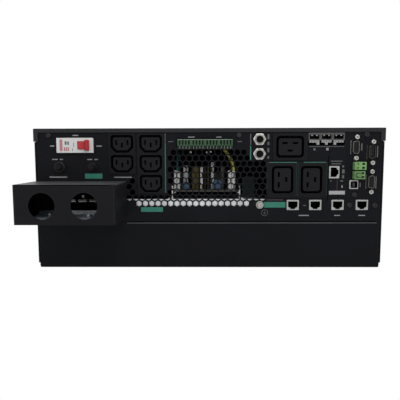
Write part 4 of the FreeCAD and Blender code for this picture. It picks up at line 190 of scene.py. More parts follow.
    # Plug green darkened: painted shade on the recessed lower faces, in the wire entries and on the header behind the
    # plugs.
    SIGNAL_SHADE = Grain.MOULDED.finish((0.004, 0.016, 0.006), 0.5, shine=0.25)
    BAR = Grain.BRUSHED.finish((0.2442, 0.2405, 0.2368), 0.36, metallic=0.35, scale=700, depth=0.01, spread=0.2)
    DARK_NICKEL = Grain.BRUSHED.finish((0.07, 0.0665, 0.0574), 0.4, metallic=0.6, scale=700, depth=0.01,
                                       spread=0.15)
    SERIAL_PIN = Grain.BRUSHED.finish((0.16, 0.13, 0.09), 0.4, metallic=0.8, depth=0.004, spread=0.08)
    SERIAL_RIM = Grain.BRUSHED.finish((0.187, 0.1843, 0.165), 0.36, metallic=0.7, scale=700, spread=0.2)
    SERIAL_FACE = Grain.MOULDED.finish((0.0045, 0.0043, 0.004), 0.55, scale=2000, spread=0.12, shine=0.2)
    JACK = Grain.BRUSHED.finish((0.352, 0.36, 0.344), 0.4, metallic=0.35, scale=700)
    LAMP_WINDOW = Grain.SMOOTH.finish((0.3, 0.36, 0.2), 0.3, scale=400, depth=0.002, spread=0.1, soft=0.1)
    VIOLET_INSERT = Grain.MOULDED.finish((0.016, 0.011, 0.024), 0.45, scale=1500)
    STOP_SCREW = Grain.BRUSHED.finish((0.117, 0.225, 0.0765), 0.4, metallic=0.3)
    RED_LINE = Grain.SMOOTH.finish((0.045, 0.016, 0.018), 0.5)
    YELLOW_WIRE = Grain.SMOOTH.finish((0.66, 0.58, 0.06), 0.3, scale=500, depth=0.01, spread=0.1, soft=0.05)
    GREEN_WIRE = Grain.SMOOTH.finish((0.2, 0.22, 0.02), 0.35, scale=500, depth=0.01, spread=0.1)
    TEAL_WIRE = Grain.SMOOTH.finish((0.012, 0.11, 0.105), 0.35, scale=500, depth=0.01, spread=0.1, shine=0.25)
    DARK_WIRE = Grain.SMOOTH.finish((0.008, 0.028, 0.016), 0.35, scale=500, depth=0.01, spread=0.1)

NODES_BY_LOOK: dict[Look, tuple[str, ...]] = {
    Look.CASE: ("chassis_tray", "mid_bulkhead"),
    Look.LID: ("top_cover",),
    Look.BOX: ("wiring_box_body",),
    Look.BOX_LID_LIT: ("wiring_box_cover",),
    Look.BASE_STEEL_LIT: ("wiring_box_base",),
    Look.GAP: ("input_terminal_block",),
    Look.PANEL: ("rear_panel", "network_card"),
    Look.BLACK_STEEL: ("case_screws",),
    Look.PLATED: ("terminal_clamps", "hex_nuts", "jack_screws", "earth_screw", "filter_brackets"),
    Look.SOCKET: ("outlet_block_left", "outlet_block_right", "large_outlet_top", "large_outlet_pair"),
    Look.SOCKET_PIN: ("socket_contacts",),
    Look.BREAKER: ("breaker_body",),
    Look.TOGGLE: ("breaker_lever",),
    Look.BUTTON: ("reset_breakers", "ring_nuts", "reset_button_left", "reset_button_right",
                  "reset_button_upper", "reset_button_lower"),
    Look.SIGNAL: ("signal_plugs",),
    Look.STOP: ("stop_plugs",),
    Look.SHIELD: ("port_shell", "data_jacks", "square_socket"),
    Look.NICKEL: ("serial_shells",),
    Look.INSERT: ("port_tongues", "serial_inserts"),
    Look.GALVANISED: ("filter_tray",),
    Look.BOARD: ("filter_board",),
    Look.FILM: ("film_capacitors",),
    Look.SLEEVE: ("white_sleeves",),
    Look.DISC: ("surge_discs",),
    Look.CHOKE: ("filter_choke",),
    Look.GREEN_WIRE: ("hook_up_wires",),
    Look.GREEN_BOARD: ("main_board", "control_board"),
    Look.EXTRUDED: ("heat_sinks",),
    Look.CAN: ("dc_capacitors",),
    Look.COPPER: ("power_chokes",),
    Look.FAN: ("fan_frames", "fan_rotor_left", "fan_rotor_right"),
    Look.BATTERY: ("battery_packs",),
    Look.BEZEL: ("front_bezel", "battery_doors"),
    Look.DISPLAY: ("display_module",),
    Look.SCREEN: ("display_screen",),
    Look.KEY: ("menu_key_left", "menu_key_middle", "menu_key_right", "power_key"),
}


def add_node(nodes: bpy.types.Nodes, kind: str, inputs: dict[Any, Any] | None = None,
             **settings: Any) -> bpy.types.Node:
    """Add a shader node.

    Args:
        nodes: Nodes of the tree.
        kind: The node's type without its common beginning.
        inputs: Value of each input that isn't left as it is.
        **settings: Properties of the node.

    Returns:
        The node.
    """
    node = nodes.new("ShaderNode" + kind)
    for name, value in settings.items():
        setattr(node, name, value)
    for name, value in (inputs or {}).items():
        node.inputs[name].default_value = value
    return node


class MaterialLibrary:
    """Makes each look's material once, from node groups that materials of one grain share."""

    def __init__(self) -> None:
        """Make the node groups."""
        self._made: dict[Look, bpy.types.Material] = {}
        self._fields = {grain: self._field_group(grain) for grain in Grain}

    def get(self, look: Look) -> bpy.types.Material:
        """Return the material of a look.

        Args:
            look: The look that is wanted.

        Returns:
            Its material, made on first use.
        """
        if look not in self._made:
            self._made[look] = self._make(look)
        return self._made[look]

    def _field_group(self, grain: Grain) -> bpy.types.NodeTree:
        """Make the node group that gives a grain's height, cloud and edge fields.

        The edge field grows where the normal of a rounded edge leaves the true normal.

        Args:
            grain: Kind of fine structure.

        Returns:
            A group with Scale and Radius inputs and Height, Cloud, Edge and Normal outputs.
        """
        group = bpy.data.node_groups.new("fields_" + grain.name.lower(), "ShaderNodeTree")
        for name in ("Scale", "Radius"):
            group.interface.new_socket(name, in_out="INPUT", socket_type="NodeSocketFloat")
        for name in ("Height", "Cloud", "Edge"):
            group.interface.new_socket(name, in_out="OUTPUT", socket_type="NodeSocketFloat")
        group.interface.new_socket("Normal", in_out="OUTPUT", socket_type="NodeSocketVector")
        nodes, link = group.nodes, group.links.new
        given, out = nodes.new("NodeGroupInput"), nodes.new("NodeGroupOutput")
        where = add_node(nodes, "TexCoord").outputs["Object"]
        cloud = add_node(nodes, "TexNoise", {"Scale": 22.0, "Detail": 4.0})
        link(where, cloud.inputs["Vector"])
        link(cloud.outputs["Fac"], out.inputs["Cloud"])
        link(self._height(nodes, link, grain, where, given.outputs["Scale"]), out.inputs["Height"])
        bevel = add_node(nodes, "Bevel", samples=4)
        link(given.outputs["Radius"], bevel.inputs["Radius"])
        link(bevel.outputs["Normal"], out.inputs["Normal"])
        flat = add_node(nodes, "NewGeometry")
        dot = add_node(nodes, "VectorMath", operation="DOT_PRODUCT")
        link(bevel.outputs["Normal"], dot.inputs[0])
        link(flat.outputs["True Normal"], dot.inputs[1])
        edge = add_node(nodes, "MapRange", {"From Min": 0.995, "From Max": 0.80})
        link(dot.outputs["Value"], edge.inputs["Value"])
        link(edge.outputs["Result"], out.inputs["Edge"])
        return group

    def _height(self, nodes: bpy.types.Nodes, link: Link, grain: Grain, where: bpy.types.NodeSocket,
                scale: bpy.types.NodeSocket) -> bpy.types.NodeSocket:
        """Add the texture nodes of one grain.

        Args:
            nodes: Nodes of the group.
            link: The group's link function.
            grain: Kind of fine structure.
            where: Socket of the place on the object.
            scale: Socket of the grains for each metre.

        Returns:
            The socket of the grain's height.
        """
        if grain is Grain.SPANGLE:
            cells = add_node(nodes, "TexVoronoi", {"Randomness": 1.0})
            link(where, cells.inputs["Vector"])
            link(scale, cells.inputs["Scale"])
            split = add_node(nodes, "SeparateColor")
            link(cells.outputs["Color"], split.inputs["Color"])
            return split.outputs["Red"]
        noise = add_node(nodes, "TexNoise", {"Detail": 3.0})
        link(scale, noise.inputs["Scale"])
        if grain in (Grain.BRUSHED, Grain.LAMINATE):
            along = (0.12, 1.0, 1.0) if grain is Grain.BRUSHED else (1.0, 0.35, 1.0)
            stretch = add_node(nodes, "Mapping", {"Scale": along})
            link(where, stretch.inputs["Vector"])
            where = stretch.outputs["Vector"]
        link(where, noise.inputs["Vector"])
        if grain is Grain.POWDER:
            peel = add_node(nodes, "MapRange", {"From Min": 0.35, "From Max": 0.65},
                            interpolation_type="SMOOTHSTEP")
            link(noise.outputs["Fac"], peel.inputs["Value"])
            return peel.outputs["Result"]
        return noise.outputs["Fac"]

    def _make(self, look: Look) -> bpy.types.Material:
        """Build one material.

        Args:
            look: The look that is wanted.

        Returns:
            A node-based material.
        """
        finish = look.value
        material = bpy.data.materials.new(look.name.lower())
        material.use_nodes = True
        nodes, link = material.node_tree.nodes, material.node_tree.links.new
        shader = nodes["Principled BSDF"]
        plain = {"Metallic": finish.metallic, "Coat Weight": finish.coat, "Coat Roughness": 0.08,
                 "Specular IOR Level": finish.shine, "Subsurface Weight": finish.soft,
                 "Subsurface Radius": (0.002, 0.002, 0.002)}
        for name, value in plain.items():
            shader.inputs[name].default_value = value
        fields = add_node(nodes, "Group", node_tree=self._fields[finish.grain])
        fields.inputs["Scale"].default_value = finish.scale
        fields.inputs["Radius"].default_value = finish.bevel * MM
        link(self._colour(nodes, link, finish, fields), shader.inputs["Base Color"])
        rough = add_node(nodes, "MapRange", {"To Min": max(0.02, finish.roughness - 0.07),
                                             "To Max": min(1.0, finish.roughness + 0.09)})
        link(fields.outputs["Height"], rough.inputs["Value"])
        link(rough.outputs["Result"], shader.inputs["Roughness"])
        bump = add_node(nodes, "Bump", {"Strength": 0.6, "Distance": max(finish.depth, 0.001) * MM})
        link(fields.outputs["Height"], bump.inputs["Height"])
        link(fields.outputs["Normal"], bump.inputs["Normal"])
        link(bump.outputs["Normal"], shader.inputs["Normal"])
        return material

    def _colour(self, nodes: bpy.types.Nodes, link: Link, finish: Finish,
                fields: bpy.types.Node) -> bpy.types.NodeSocket:
        """Add the nodes that vary a finish's colour.

        Args:
            nodes: Nodes of the material.
            link: The material's link function.
            finish: The finish.
            fields: Its field group node.

        Returns:
            The colour's socket.
        """
        base = np.array(finish.colour)
        ramp = add_node(nodes, "ValToRGB")
        limits = (base * (1 - finish.spread), np.minimum(base * (1 + finish.spread), 1.0))
        for stop, place, colour in zip(ramp.color_ramp.elements, (0.3, 0.7), limits):
            stop.position, stop.color = place, (*colour, 1.0)
        share = add_node(nodes, "Math", {1: 0.4}, operation="MULTIPLY")
        blend = add_node(nodes, "Math", {1: 0.6}, operation="MULTIPLY_ADD")
        link(fields.outputs["Height"], share.inputs[0])
        link(fields.outputs["Cloud"], blend.inputs[0])
        link(share.outputs["Value"], blend.inputs[2])
        link(blend.outputs["Value"], ramp.inputs["Fac"])
        if not finish.edge:
            return ramp.outputs["Color"]
        # Painted highlight: the colour is mixed towards a lighter tone on rounded edges.
        edge_highlight = add_node(nodes, "Mix", data_type="RGBA")
        edge_highlight.inputs["B"].default_value = (*(base + finish.edge), 1.0)
        link(fields.outputs["Edge"], edge_highlight.inputs["Factor"])
        link(ramp.outputs["Color"], edge_highlight.inputs["A"])
        return edge_highlight.outputs["Result"]


# Flat outlines in the X-Z plane

def rectangle(cx: float, cz: float, width: float, height: float, radius: float = 0.0, steps: int = 4) -> Loop:
    """Return a rectangle's outline, with round corners where a radius is given.

    Args:
        cx: Middle x.
        cz: Middle z.
        width: Size along x.
        height: Size along z.
        radius: Corner radius.
        steps: Segments of each round corner.

    Returns:
        Points of the outline, anticlockwise.
    """
    w, h = width / 2, height / 2
    corners = np.array([(cx - w, cz - h), (cx + w, cz - h), (cx + w, cz + h), (cx - w, cz + h)])
    return rounded(corners, [radius] * 4, steps)


def rounded(corners: np.ndarray, radii: Sequence[float], steps: int = 4) -> Loop:
    """Replace the corners of a polygon by arcs that touch both of their sides.

    Args:
        corners: Corner points, anticlockwise.
        radii: Radius at each corner; 0 keeps it sharp.
        steps: Segments of each round corner.

    Returns:
        Points of the rounded outline.
    """
    out: list[np.ndarray] = []
    for k, (here, radius) in enumerate(zip(corners, radii)):
        if radius <= 0:
            out.append(here[None])
            continue
        back, ahead = corners[k - 1] - here, corners[(k + 1) % len(corners)] - here
        back, ahead = back / np.linalg.norm(back), ahead / np.linalg.norm(ahead)
        half = math.acos(np.clip(back @ ahead, -1, 1)) / 2
        middle = here + (back + ahead) / np.linalg.norm(back + ahead) * radius / math.sin(half)
        start, end = here + back * radius / math.tan(half), here + ahead * radius / math.tan(half)
        a0, a1 = (math.atan2(*(p - middle)[::-1]) for p in (start, end))
        turn = (a1 - a0 + math.pi) % (2 * math.pi) - math.pi
        angles = a0 + turn * np.arange(steps + 1) / steps
        out.append(middle + radius * np.column_stack([np.cos(angles), np.sin(angles)]))
    return np.vstack(out)


def circle(cx: float, cz: float, radius: float | np.ndarray, steps: int = 32, start: float = 0.0) -> Loop:
    """Return a circle's or a regular polygon's outline.

    Args:
        cx: Middle x.
        cz: Middle z.
        radius: Distance of the points from the middle, one for all or one for each.
        steps: Number of points.
        start: Angle of the first point in degrees.

    Returns:
        Points of the outline, anticlockwise.
    """
    angles = np.radians(start) + np.arange(steps) * 2 * np.pi / steps
    return np.column_stack([cx + radius * np.cos(angles), cz + radius * np.sin(angles)])


def ridged(cx: float, cz: float, outer: float, inner: float, steps: int, period: int = 4) -> Loop:
    """Return a round outline with ridges: half of each period at the outer radius, half at the inner.

    Args:
        cx: Middle x.
        cz: Middle z.
        outer: Radius over the ridges.
        inner: Radius in the grooves.
        steps: Number of points.
        period: Points of one ridge and one groove.

    Returns:
        Points of the outline, anticlockwise.
    """
    return circle(cx, cz, np.where(np.arange(steps) % period < period // 2, outer, inner), steps)


def signed_area(loop: Loop) -> float:
    """Return the area of an outline, positive where it runs anticlockwise.

    Args:
        loop: The outline.

    Returns:
        Half the sum of the cross products of neighbouring points.
    """
    ahead = np.roll(loop, -1, axis=0)
    return float((loop[:, 0] * ahead[:, 1] - ahead[:, 0] * loop[:, 1]).sum() / 2)


def inset(loop: Loop, distance: float) -> Loop:
    """Move an outline towards its left side, each point along the mean normal of its two sides.

    Args:
        loop: The outline.
        distance: How far it moves.

    Returns:
        The moved outline, with the same number of points.
    """
    ahead = np.roll(loop, -1, axis=0) - loop
    ahead = ahead / np.maximum(np.linalg.norm(ahead, axis=1, keepdims=True), 1e-9)
    normal = np.column_stack([-ahead[:, 1], ahead[:, 0]])
    before = np.roll(normal, 1, axis=0)
    share = np.maximum(1 + (normal * before).sum(axis=1, keepdims=True), 0.3)
    return loop + distance * (normal + before) / share


def inside(points: np.ndarray, loops: Iterable[Loop]) -> np.ndarray:
    """Tell which points lie in a region with holes, by counting the sides that a level ray crosses.

    Args:
        points: Points to test.
        loops: Outlines of the region and its holes.

    Returns:
        One boolean for each point.
    """
    result = np.zeros(len(points), dtype=bool)
    px, pz = points[:, :1], points[:, 1:]
    for loop in loops:
        a, b = loop, np.roll(loop, -1, axis=0)
        crosses = (a[:, 1] > pz) != (b[:, 1] > pz)
        with np.errstate(divide="ignore", invalid="ignore"):
            at = a[:, 0] + (pz - a[:, 1]) * (b[:, 0] - a[:, 0]) / (b[:, 1] - a[:, 1])
        result ^= (np.logical_and(crosses, px < at).sum(axis=1) % 2).astype(bool)
    return result


def triangles(loops: Sequence[Loop]) -> np.ndarray:
    """Fill a region with holes.

    Args:
        loops: Outlines of the region and its holes.

    Returns:
        Rows of three point numbers, anticlockwise.
    """
    flat = np.vstack(loops)
    edges: list[tuple[int, int]] = []
    start = 0
    for loop in loops:
        ring = np.arange(start, start + len(loop))
        edges.extend(zip(ring.tolist(), np.roll(ring, -1).tolist()))
        start += len(loop)
    _, _, faces, source, _, _ = delaunay_2d_cdt([Vector(p) for p in flat], edges, [], 0, 1e-6)
    names = np.array([group[0] if group else -1 for group in source])
    rows = names[np.array([tuple(face) for face in faces])]
    rows = rows[(rows >= 0).all(axis=1)]
    return rows[inside(flat[rows].mean(axis=1), loops)]


# Solid forms

def prism(loops: Sequence[Loop], y0: float, y1: float, front: float = 0.0, back: float = 0.0) -> Shape:
    """Extrude a region with holes along Y and bevel its rims.

    Args:
        loops: The outer outline and then the holes.
        y0: Front of the form, towards the viewer of the rear panel.
        y1: Back of the form.
        front: Bevel of the front rims.
        back: Bevel of the back rims.

    Returns:
        Points and faces.
    """
    turned = [loop if (signed_area(loop) > 0) == (k == 0) else loop[::-1] for k, loop in enumerate(loops)]
    levels = [([inset(loop, front) for loop in turned], y0)]
    if front:
        levels.append((turned, y0 + front))
    levels.append((turned, y1 - back))
    if back:
        levels.append(([inset(loop, back) for loop in turned], y1))
    size = sum(map(len, turned))
    flats = [(np.vstack(flat), y) for flat, y in levels]
    points = np.vstack([np.column_stack([flat[:, 0], np.full(size, y), flat[:, 1]]) for flat, y in flats])
    faces: list[tuple[int, ...]] = []
    start = 0
    for loop in turned:
        ring = np.arange(start, start + len(loop))
        after = np.roll(ring, -1)
        for level in range(len(levels) - 1):
            a, b = level * size, (level + 1) * size
            faces.extend(map(tuple, np.column_stack([ring + a, ring + b, after + b, after + a]).tolist()))
        start += len(loop)
    faces.extend(map(tuple, triangles(levels[0][0]).tolist()))
    last = triangles(levels[-1][0]) + (len(levels) - 1) * size
    faces.extend(map(tuple, last[:, ::-1].tolist()))
    return points, faces


def block(low: Sequence[float], high: Sequence[float], bevel: float = 0.3) -> Shape:
    """Return a box with bevelled front and back rims and rounded edges between them.

    Args:
        low: Lowest corner.
        high: Highest corner.
        bevel: Bevel of the rims and radius of the edges.

    Returns:
        Points and faces.
    """
    (x0, y0, z0), (x1, y1, z1) = low, high
    outline = rectangle((x0 + x1) / 2, (z0 + z1) / 2, x1 - x0, z1 - z0, bevel, 2)
    return prism([outline], y0, y1, bevel, bevel)


def skin(rings: np.ndarray) -> Shape:
    """Join rings of points into one closed form, with a face over each end.

    Args:
        rings: Points of each ring, all with the same number of points.

    Returns:
        Points and faces.
    """
    count, steps = rings.shape[:2]
    first = np.arange(count - 1)[:, None] * steps
    here, after = first + np.arange(steps), first + np.roll(np.arange(steps), -1)
    sides = np.stack([here, here + steps, after + steps, after], axis=-1).reshape(-1, 4)
    end = (count - 1) * steps
    faces = [*map(tuple, sides.tolist()), tuple(range(steps))[::-1], tuple(range(end, end + steps))]
    return rings.reshape(-1, 3), faces


def lathe(profile: Sequence[tuple[float, float]], centre: Sequence[float], steps: int = 32,
          upright: bool = False) -> Shape:
    """Turn a profile round a line: each point's radius times the sine and cosine of the angle.

    Args:
        profile: (radius, distance along the line) from one end to the other.
        centre: Point on the line at distance 0.
        steps: Segments round the line.
        upright: Whether the line runs along Z instead of Y.

    Returns:
        Points and faces.
    """
    angles = np.arange(steps) * 2 * np.pi / steps
    radius, along = np.array(profile).T[:, :, None]
    around = [radius * np.cos(angles), along + 0 * angles, radius * np.sin(angles)]
    if upright:
        around[1:] = around[:0:-1]
    return skin(np.stack(around, axis=-1) + np.array(centre))


def tube(path: np.ndarray, radius: float, steps: int = 12) -> Shape:
    """Sweep a circle along a path, in the plane across it.

    Args:
        path: Points of the path.
        radius: Radius of the tube.
        steps: Segments round the tube.

    Returns:
        Points and faces.
    """
    along = np.gradient(path, axis=0)
    along /= np.linalg.norm(along, axis=1, keepdims=True)
    side = np.cross(along[0], (0.31, 0.9, 0.2))
    angles = np.arange(steps) * 2 * np.pi / steps
    rings = []
    for point, direction in zip(path, along):
        side = side - direction * (side @ direction)
        side /= np.linalg.norm(side)
        other = np.cross(direction, side)
        rings.append(point + radius * (np.outer(np.cos(angles), side) + np.outer(np.sin(angles), other)))
    return skin(np.array(rings))


def smooth_path(route: Sequence[Sequence[float]]) -> np.ndarray:
    """Follow a NURBS spline through a route's control points.

    Args:
        route: Control points.

    Returns:
        Points along the spline.
    """
    curve = bpy.data.curves.new("route", "CURVE")
    curve.dimensions = "3D"
    curve.resolution_u = 8
    spline = curve.splines.new("NURBS")
    spline.points.add(len(route) - 1)
    for point, place in zip(spline.points, route):
        point.co = (*place, 1.0)
    spline.order_u = 3
    spline.use_endpoint_u = True
    holder = bpy.data.objects.new("route", curve)
    mesh = bpy.data.meshes.new_from_object(holder)
    points = np.empty(len(mesh.vertices) * 3, dtype=np.float32)
    mesh.vertices.foreach_get("co", points)
    bpy.data.objects.remove(holder)
    bpy.data.curves.remove(curve)
    bpy.data.meshes.remove(mesh)
    return points.reshape(-1, 3).astype(float)


def facing(shape: Shape, centre: Sequence[float], out: Sequence[float]) -> Shape:
    """Turn a form built about the origin, looking along -Y, towards another side.

    Args:
        shape: The form; its depth runs along +Y.
        centre: Where its origin goes.
        out: Direction that its face then looks along.

    Returns:
        Points and faces.
    """
    points, faces = shape
    ahead = np.array(out, dtype=float)
    up = np.array((0.0, 1.0, 0.0)) if abs(ahead[2]) > 0.5 else np.array((0.0, 0.0, 1.0))
    across = np.cross(up, ahead)
    turned = np.outer(points[:, 0], across) - np.outer(points[:, 1], ahead) + np.outer(points[:, 2], up)
    return turned + np.array(centre), faces


def flat_on(loops: Sequence[Loop], top: float, depth: float, front: float = 0.0, back: float = 0.0) -> Shape:
    """Extrude a region of the X-Y plane downwards.

    Args:
        loops: The outer outline and then the holes, in x and y.
        top: Height of the upper face.
        depth: Thickness of the form.
        front: Bevel of the upper rims.
        back: Bevel of the lower rims.

    Returns:
        Points and faces.
    """
    return facing(prism(loops, 0.0, depth, front, back), (0, 0, top), UP)


def spun(shape: Shape, centre: Sequence[float], degrees: float) -> Shape:
    """Turn a form about a vertical line.

    Args:
        shape: The form.
        centre: A point on the line.
        degrees: The turn, anticlockwise seen from above.

    Returns:
        Points and faces.
    """
    points, faces = shape
    turn = np.array(Matrix.Rotation(math.radians(degrees), 3, "Z"))
    return (points - centre) @ turn.T + centre, faces


def cross_outline(reach: float, width: float) -> Loop:
    """Return the outline of a cross recess about the origin.

    Args:
        reach: Distance of its tips from the middle.
        width: Width of its arms.

    Returns:
        Points of the outline, anticlockwise.
    """
    r, w = reach, width / 2
    return np.array([(w, -r), (w, -w), (r, -w), (r, w), (w, w), (w, r), (-w, r), (-w, w), (-r, w), (-r, -w),
                     (-w, -w), (-w, -r)])


def screw_head(radius: float, height: float, bevel: float, centre: Sequence[float],
               out: Sequence[float]) -> list[Shape]:
    """Return a screw head with a cross recess.

    Args:
        radius: Radius of the head.
        height: Height of the head.
        bevel: How far its rim is drawn in at the top.
        centre: Middle of its top.
        out: Direction that it looks along.

    Returns:
        The upper part with the recess and the solid part under it.
    """
    rim = circle(0, 0, radius, 28)
    step = height * 0.55
    points, faces = prism([rim, cross_outline(radius * 0.6, radius * 0.26)], 0.0, step)
    outer = np.hypot(points[:, 0], points[:, 2]) > radius * 0.95
    front = np.logical_and(outer, points[:, 1] < step / 2)
    points[front] *= (1 - bevel / radius, 1.0, 1 - bevel / radius)
    return [facing(form, centre, out) for form in ((points, faces), prism([rim], step, height))]


UP = (0, 0, 1)
OUT = (0, -1, 0)


def node_box(node: str) -> tuple[np.ndarray, np.ndarray]:
    """Return a CAD node's box.

    Args:
        node: Name of the node.

    Returns:
        Its lowest and highest corners in millimetres.
    """
    low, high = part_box(node)
    return np.array(low) / MM, np.array(high) / MM


class Piece:
    """Mesh of one visual piece, gathered form by form with a look for each."""

    def __init__(self, name: str) -> None:
        """Start an empty piece.

        Args:
            name: Name of the object.
        """
        self.name = name
        self._points: list[np.ndarray] = []
        self._faces: list[tuple[int, ...]] = []
        self._index: list[int] = []
        self._looks: list[Look] = []
        self._count = 0

    def add(self, look: Look, *shapes: Shape) -> None:
        """Add forms of one look.

        Args:
            look: Their look.
            *shapes: Points and faces of each form.
        """
        if look not in self._looks:
            self._looks.append(look)
        for points, faces in shapes:
            self._points.append(points)
            self._faces.extend(tuple(i + self._count for i in face) for face in faces)
            self._index.extend([self._looks.index(look)] * len(faces))
            self._count += len(points)

    def build(self, library: MaterialLibrary, node: str = "", slot: str = "", body: str = "case") -> None:
        """Make the Blender object, with its place in its mesh and its faces turned outwards.

        Args:
            library: Source of the materials.
            node: CAD node that the piece stands for.
            slot: Material slot of the record; not used.
            body: Body that the piece rides on.
        """
        mesh = bpy.data.meshes.new(self.name)
        mesh.from_pydata((np.vstack(self._points) * MM).tolist(), [], self._faces)
        for look in self._looks:
            mesh.materials.append(library.get(look))
        mesh.polygons.foreach_set("material_index", self._index)
        mesh.polygons.foreach_set("use_smooth", [True] * len(self._faces))
        work = bmesh.new()
        work.from_mesh(mesh)
        bmesh.ops.recalc_face_normals(work, faces=work.faces)
        work.to_mesh(mesh)
        work.free()
        mesh.set_sharp_from_angle(angle=math.radians(SHARP_ANGLE))
        mesh.update()
        piece = bpy.data.objects.new(self.name, mesh)
        bpy.context.scene.collection.objects.link(piece)
        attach(piece, body)
        if node:
            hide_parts(node)
        LOG.info("piece %s: %d faces, %d looks", self.name, len(self._faces), len(self._looks))


class Assembly:
    """A group of pieces that are made together from the sizes that it holds."""

    def build(self, library: MaterialLibrary) -> None:
        """Make the pieces with materials from the library."""
        raise NotImplementedError


# Mains sockets

@dataclass(frozen=True)
class Inlet:
    """Shape of one mains socket.

    Attributes:
        width: Size along x.
        height: Size along z.
        chamfer: Cut of the lower corners; 0 for round ones.
        radius: Radius of the other corners.
        ring: Width of the channel round the core.
        depth: Depth of the channel.
        slots: (dx, dz, width, height) of each slot in the core.
    """

    width: float
    height: float
    chamfer: float
    radius: float
    ring: float
    depth: float
    slots: tuple[tuple[float, float, float, float], ...]

    def outline(self, cx: float, cz: float, shrink: float = 0.0) -> Loop:
        """Return the socket's outline.

        Args:
            cx: Middle x.
            cz: Middle z.
            shrink: How far the outline is set in.

        Returns:
            Points of the outline, anticlockwise.
        """
        w, h = self.width / 2 - shrink, self.height / 2 - shrink
        r = self.radius - shrink / 2
        if not self.chamfer:
            return rectangle(cx, cz, 2 * w, 2 * h, r, 5)
        c, bend = self.chamfer - shrink / 2, 0.9 + shrink * 0.6
        corners = np.array([(-w + c, -h), (w - c, -h), (w, -h + c), (w, h), (-w, h), (-w, -h + c)])
        return rounded(corners + (cx, cz), (bend, bend, bend, r, r, bend), 5)


SMALL = Inlet(28.0, 21.6, 6.2, 3.6, 2.8, 15.0, ((-7.0, 1.6, 2.2, 6.0), (7.0, 1.6, 2.2, 6.0), (0.0, -1.6, 2.2, 6.0)))
LARGE_FLAT = Inlet(34.0, 26.6, 0.0, 4.4, 2.9, 17.0,
                   ((-6.4, 4.6, 6.4, 2.4), (6.4, 4.6, 6.4, 2.4), (0.0, -4.6, 6.4, 2.4)))
LARGE_UPRIGHT = Inlet(26.6, 34.0, 0.0, 4.4, 2.9, 17.0,
                      ((-4.6, -6.4, 2.4, 6.4), (-4.6, 6.4, 2.4, 6.4), (4.6, 0.0, 2.4, 6.4)))


@dataclass(frozen=True)
class MainsBlock(Assembly):
    """One moulded block of mains sockets.

    Attributes:
        node: The CAD node that it stands for.
        kind: Shape of its sockets.
        rows: Middle z of each row.
        columns: Number of sockets side by side.
        spacing: Distance between the columns.
        plate: Thickness of the front plates.
        gap: Gap between the plates.
        waist: How much smaller the body is than its plates.
        sink: How deep the cores lie behind the plates' faces.
    """

    node: str
    kind: Inlet
    rows: tuple[float, ...]
    columns: int = 1
    spacing: float = 35.7
    plate: float = 1.4
    gap: float = 0.6
    waist: float = 2.9
    sink: float = 0.6

    def build(self, library: MaterialLibrary) -> None:
        """Make the block with its front plates, body and cores.

        Args:
            library: Source of the materials.
        """
        low, high = node_box(self.node)
        (middle_x, _, middle_z), (width, _, height) = (low + high) / 2, high - low
        face, joint, floor = low[1], low[1] + self.plate, low[1] + self.kind.depth
        each = (width - self.gap) / self.columns
        steps = np.arange(self.columns) - (self.columns - 1) / 2
        places = [(middle_x + step * self.spacing, z) for step in steps for z in self.rows]
        piece = Piece(self.node + "_look")
        for k, step in enumerate(steps):
            plate = rectangle(middle_x + step * (each + self.gap), middle_z, each, height, 0.8, 2)
            own = places[k * len(self.rows):(k + 1) * len(self.rows)]
            piece.add(Look.SOCKET, prism([plate, *(self.kind.outline(*p) for p in own)], face, joint, front=0.35))
        body = rectangle(middle_x, middle_z, width - self.waist, height - self.waist)
        holes = [self.kind.outline(*place) for place in places]
        piece.add(Look.SOCKET, prism([body, *holes], joint, floor), prism([body], floor, high[1]))
        for x, z in places:
            slots = [rectangle(x + dx, z + dz, w, h, 0.35, 2) for dx, dz, w, h in self.kind.slots]
            core = self.kind.outline(x, z, self.kind.ring)
            piece.add(Look.CORE, prism([core, *slots], face + self.sink, floor, front=0.45))
        piece.build(library, self.node, "socket_black")


# Breakers

@dataclass(frozen=True)
class BreakerToggle(Assembly):
    """The red toggle: a ribbed barrel with a wide thumb plate.

    Attributes:
        pin: x and y of the line that it turns about.
        throw: Turn of the plate from straight out, in degrees.
        radius: Radius over the barrel's ridges.
        groove: Depth of the barrel's grooves.
        barrel: Length of the barrel.
        blade: Corners of the plate's section, from the pin.
        width: Length of the plate along the pin.
        rib_spacing: Distance between the plate's four ribs.
    """

    pin: tuple[float, float] = (-155.0, -289.0)
    throw: float = 38.0
    radius: float = 7.5
    groove: float = 0.25
    barrel: float = 9.4
    blade: tuple[tuple[float, float], ...] = ((-1.5, -11.2), (3.4, -10.6), (2.4, -5.5), (-1.5, -5.5))
    width: float = 13.0
    rib_spacing: float = 2.6

    def build(self, library: MaterialLibrary) -> None:
        """Make the toggle as it lies in the photograph.

        Args:
            library: Source of the materials.
        """
        low, high = node_box("breaker_lever")
        middle = (low[2] + high[2]) / 2
        piece = Piece("breaker_lever_look")
        section = ridged(0, 0, self.radius, self.radius - self.groove, 96)
        barrel = prism([section], 0.0, self.barrel, 0.3, 0.3)
        piece.add(Look.TOGGLE, facing(barrel, (*self.pin, middle + self.barrel / 2), UP))
        blade = rounded(np.array(self.blade), (1.2, 1.2, 0.0, 0.0), 4)
        forms = [(prism([blade], 0.0, self.width, 0.5, 0.5), middle + self.width / 2)]
        rib = prism([rectangle(-1.4, -8.8, 0.9, 3.0, 0.2, 2)], 0.0, 0.9, 0.2, 0.2)
        forms.extend((rib, middle + (k - 1.5) * self.rib_spacing) for k in range(4))
        for form, z in forms:
            piece.add(Look.TOGGLE, spun(facing(form, (*self.pin, z), UP), (*self.pin, 0.0), self.throw))
        piece.build(library, "breaker_lever", "toggle_red", "toggle")


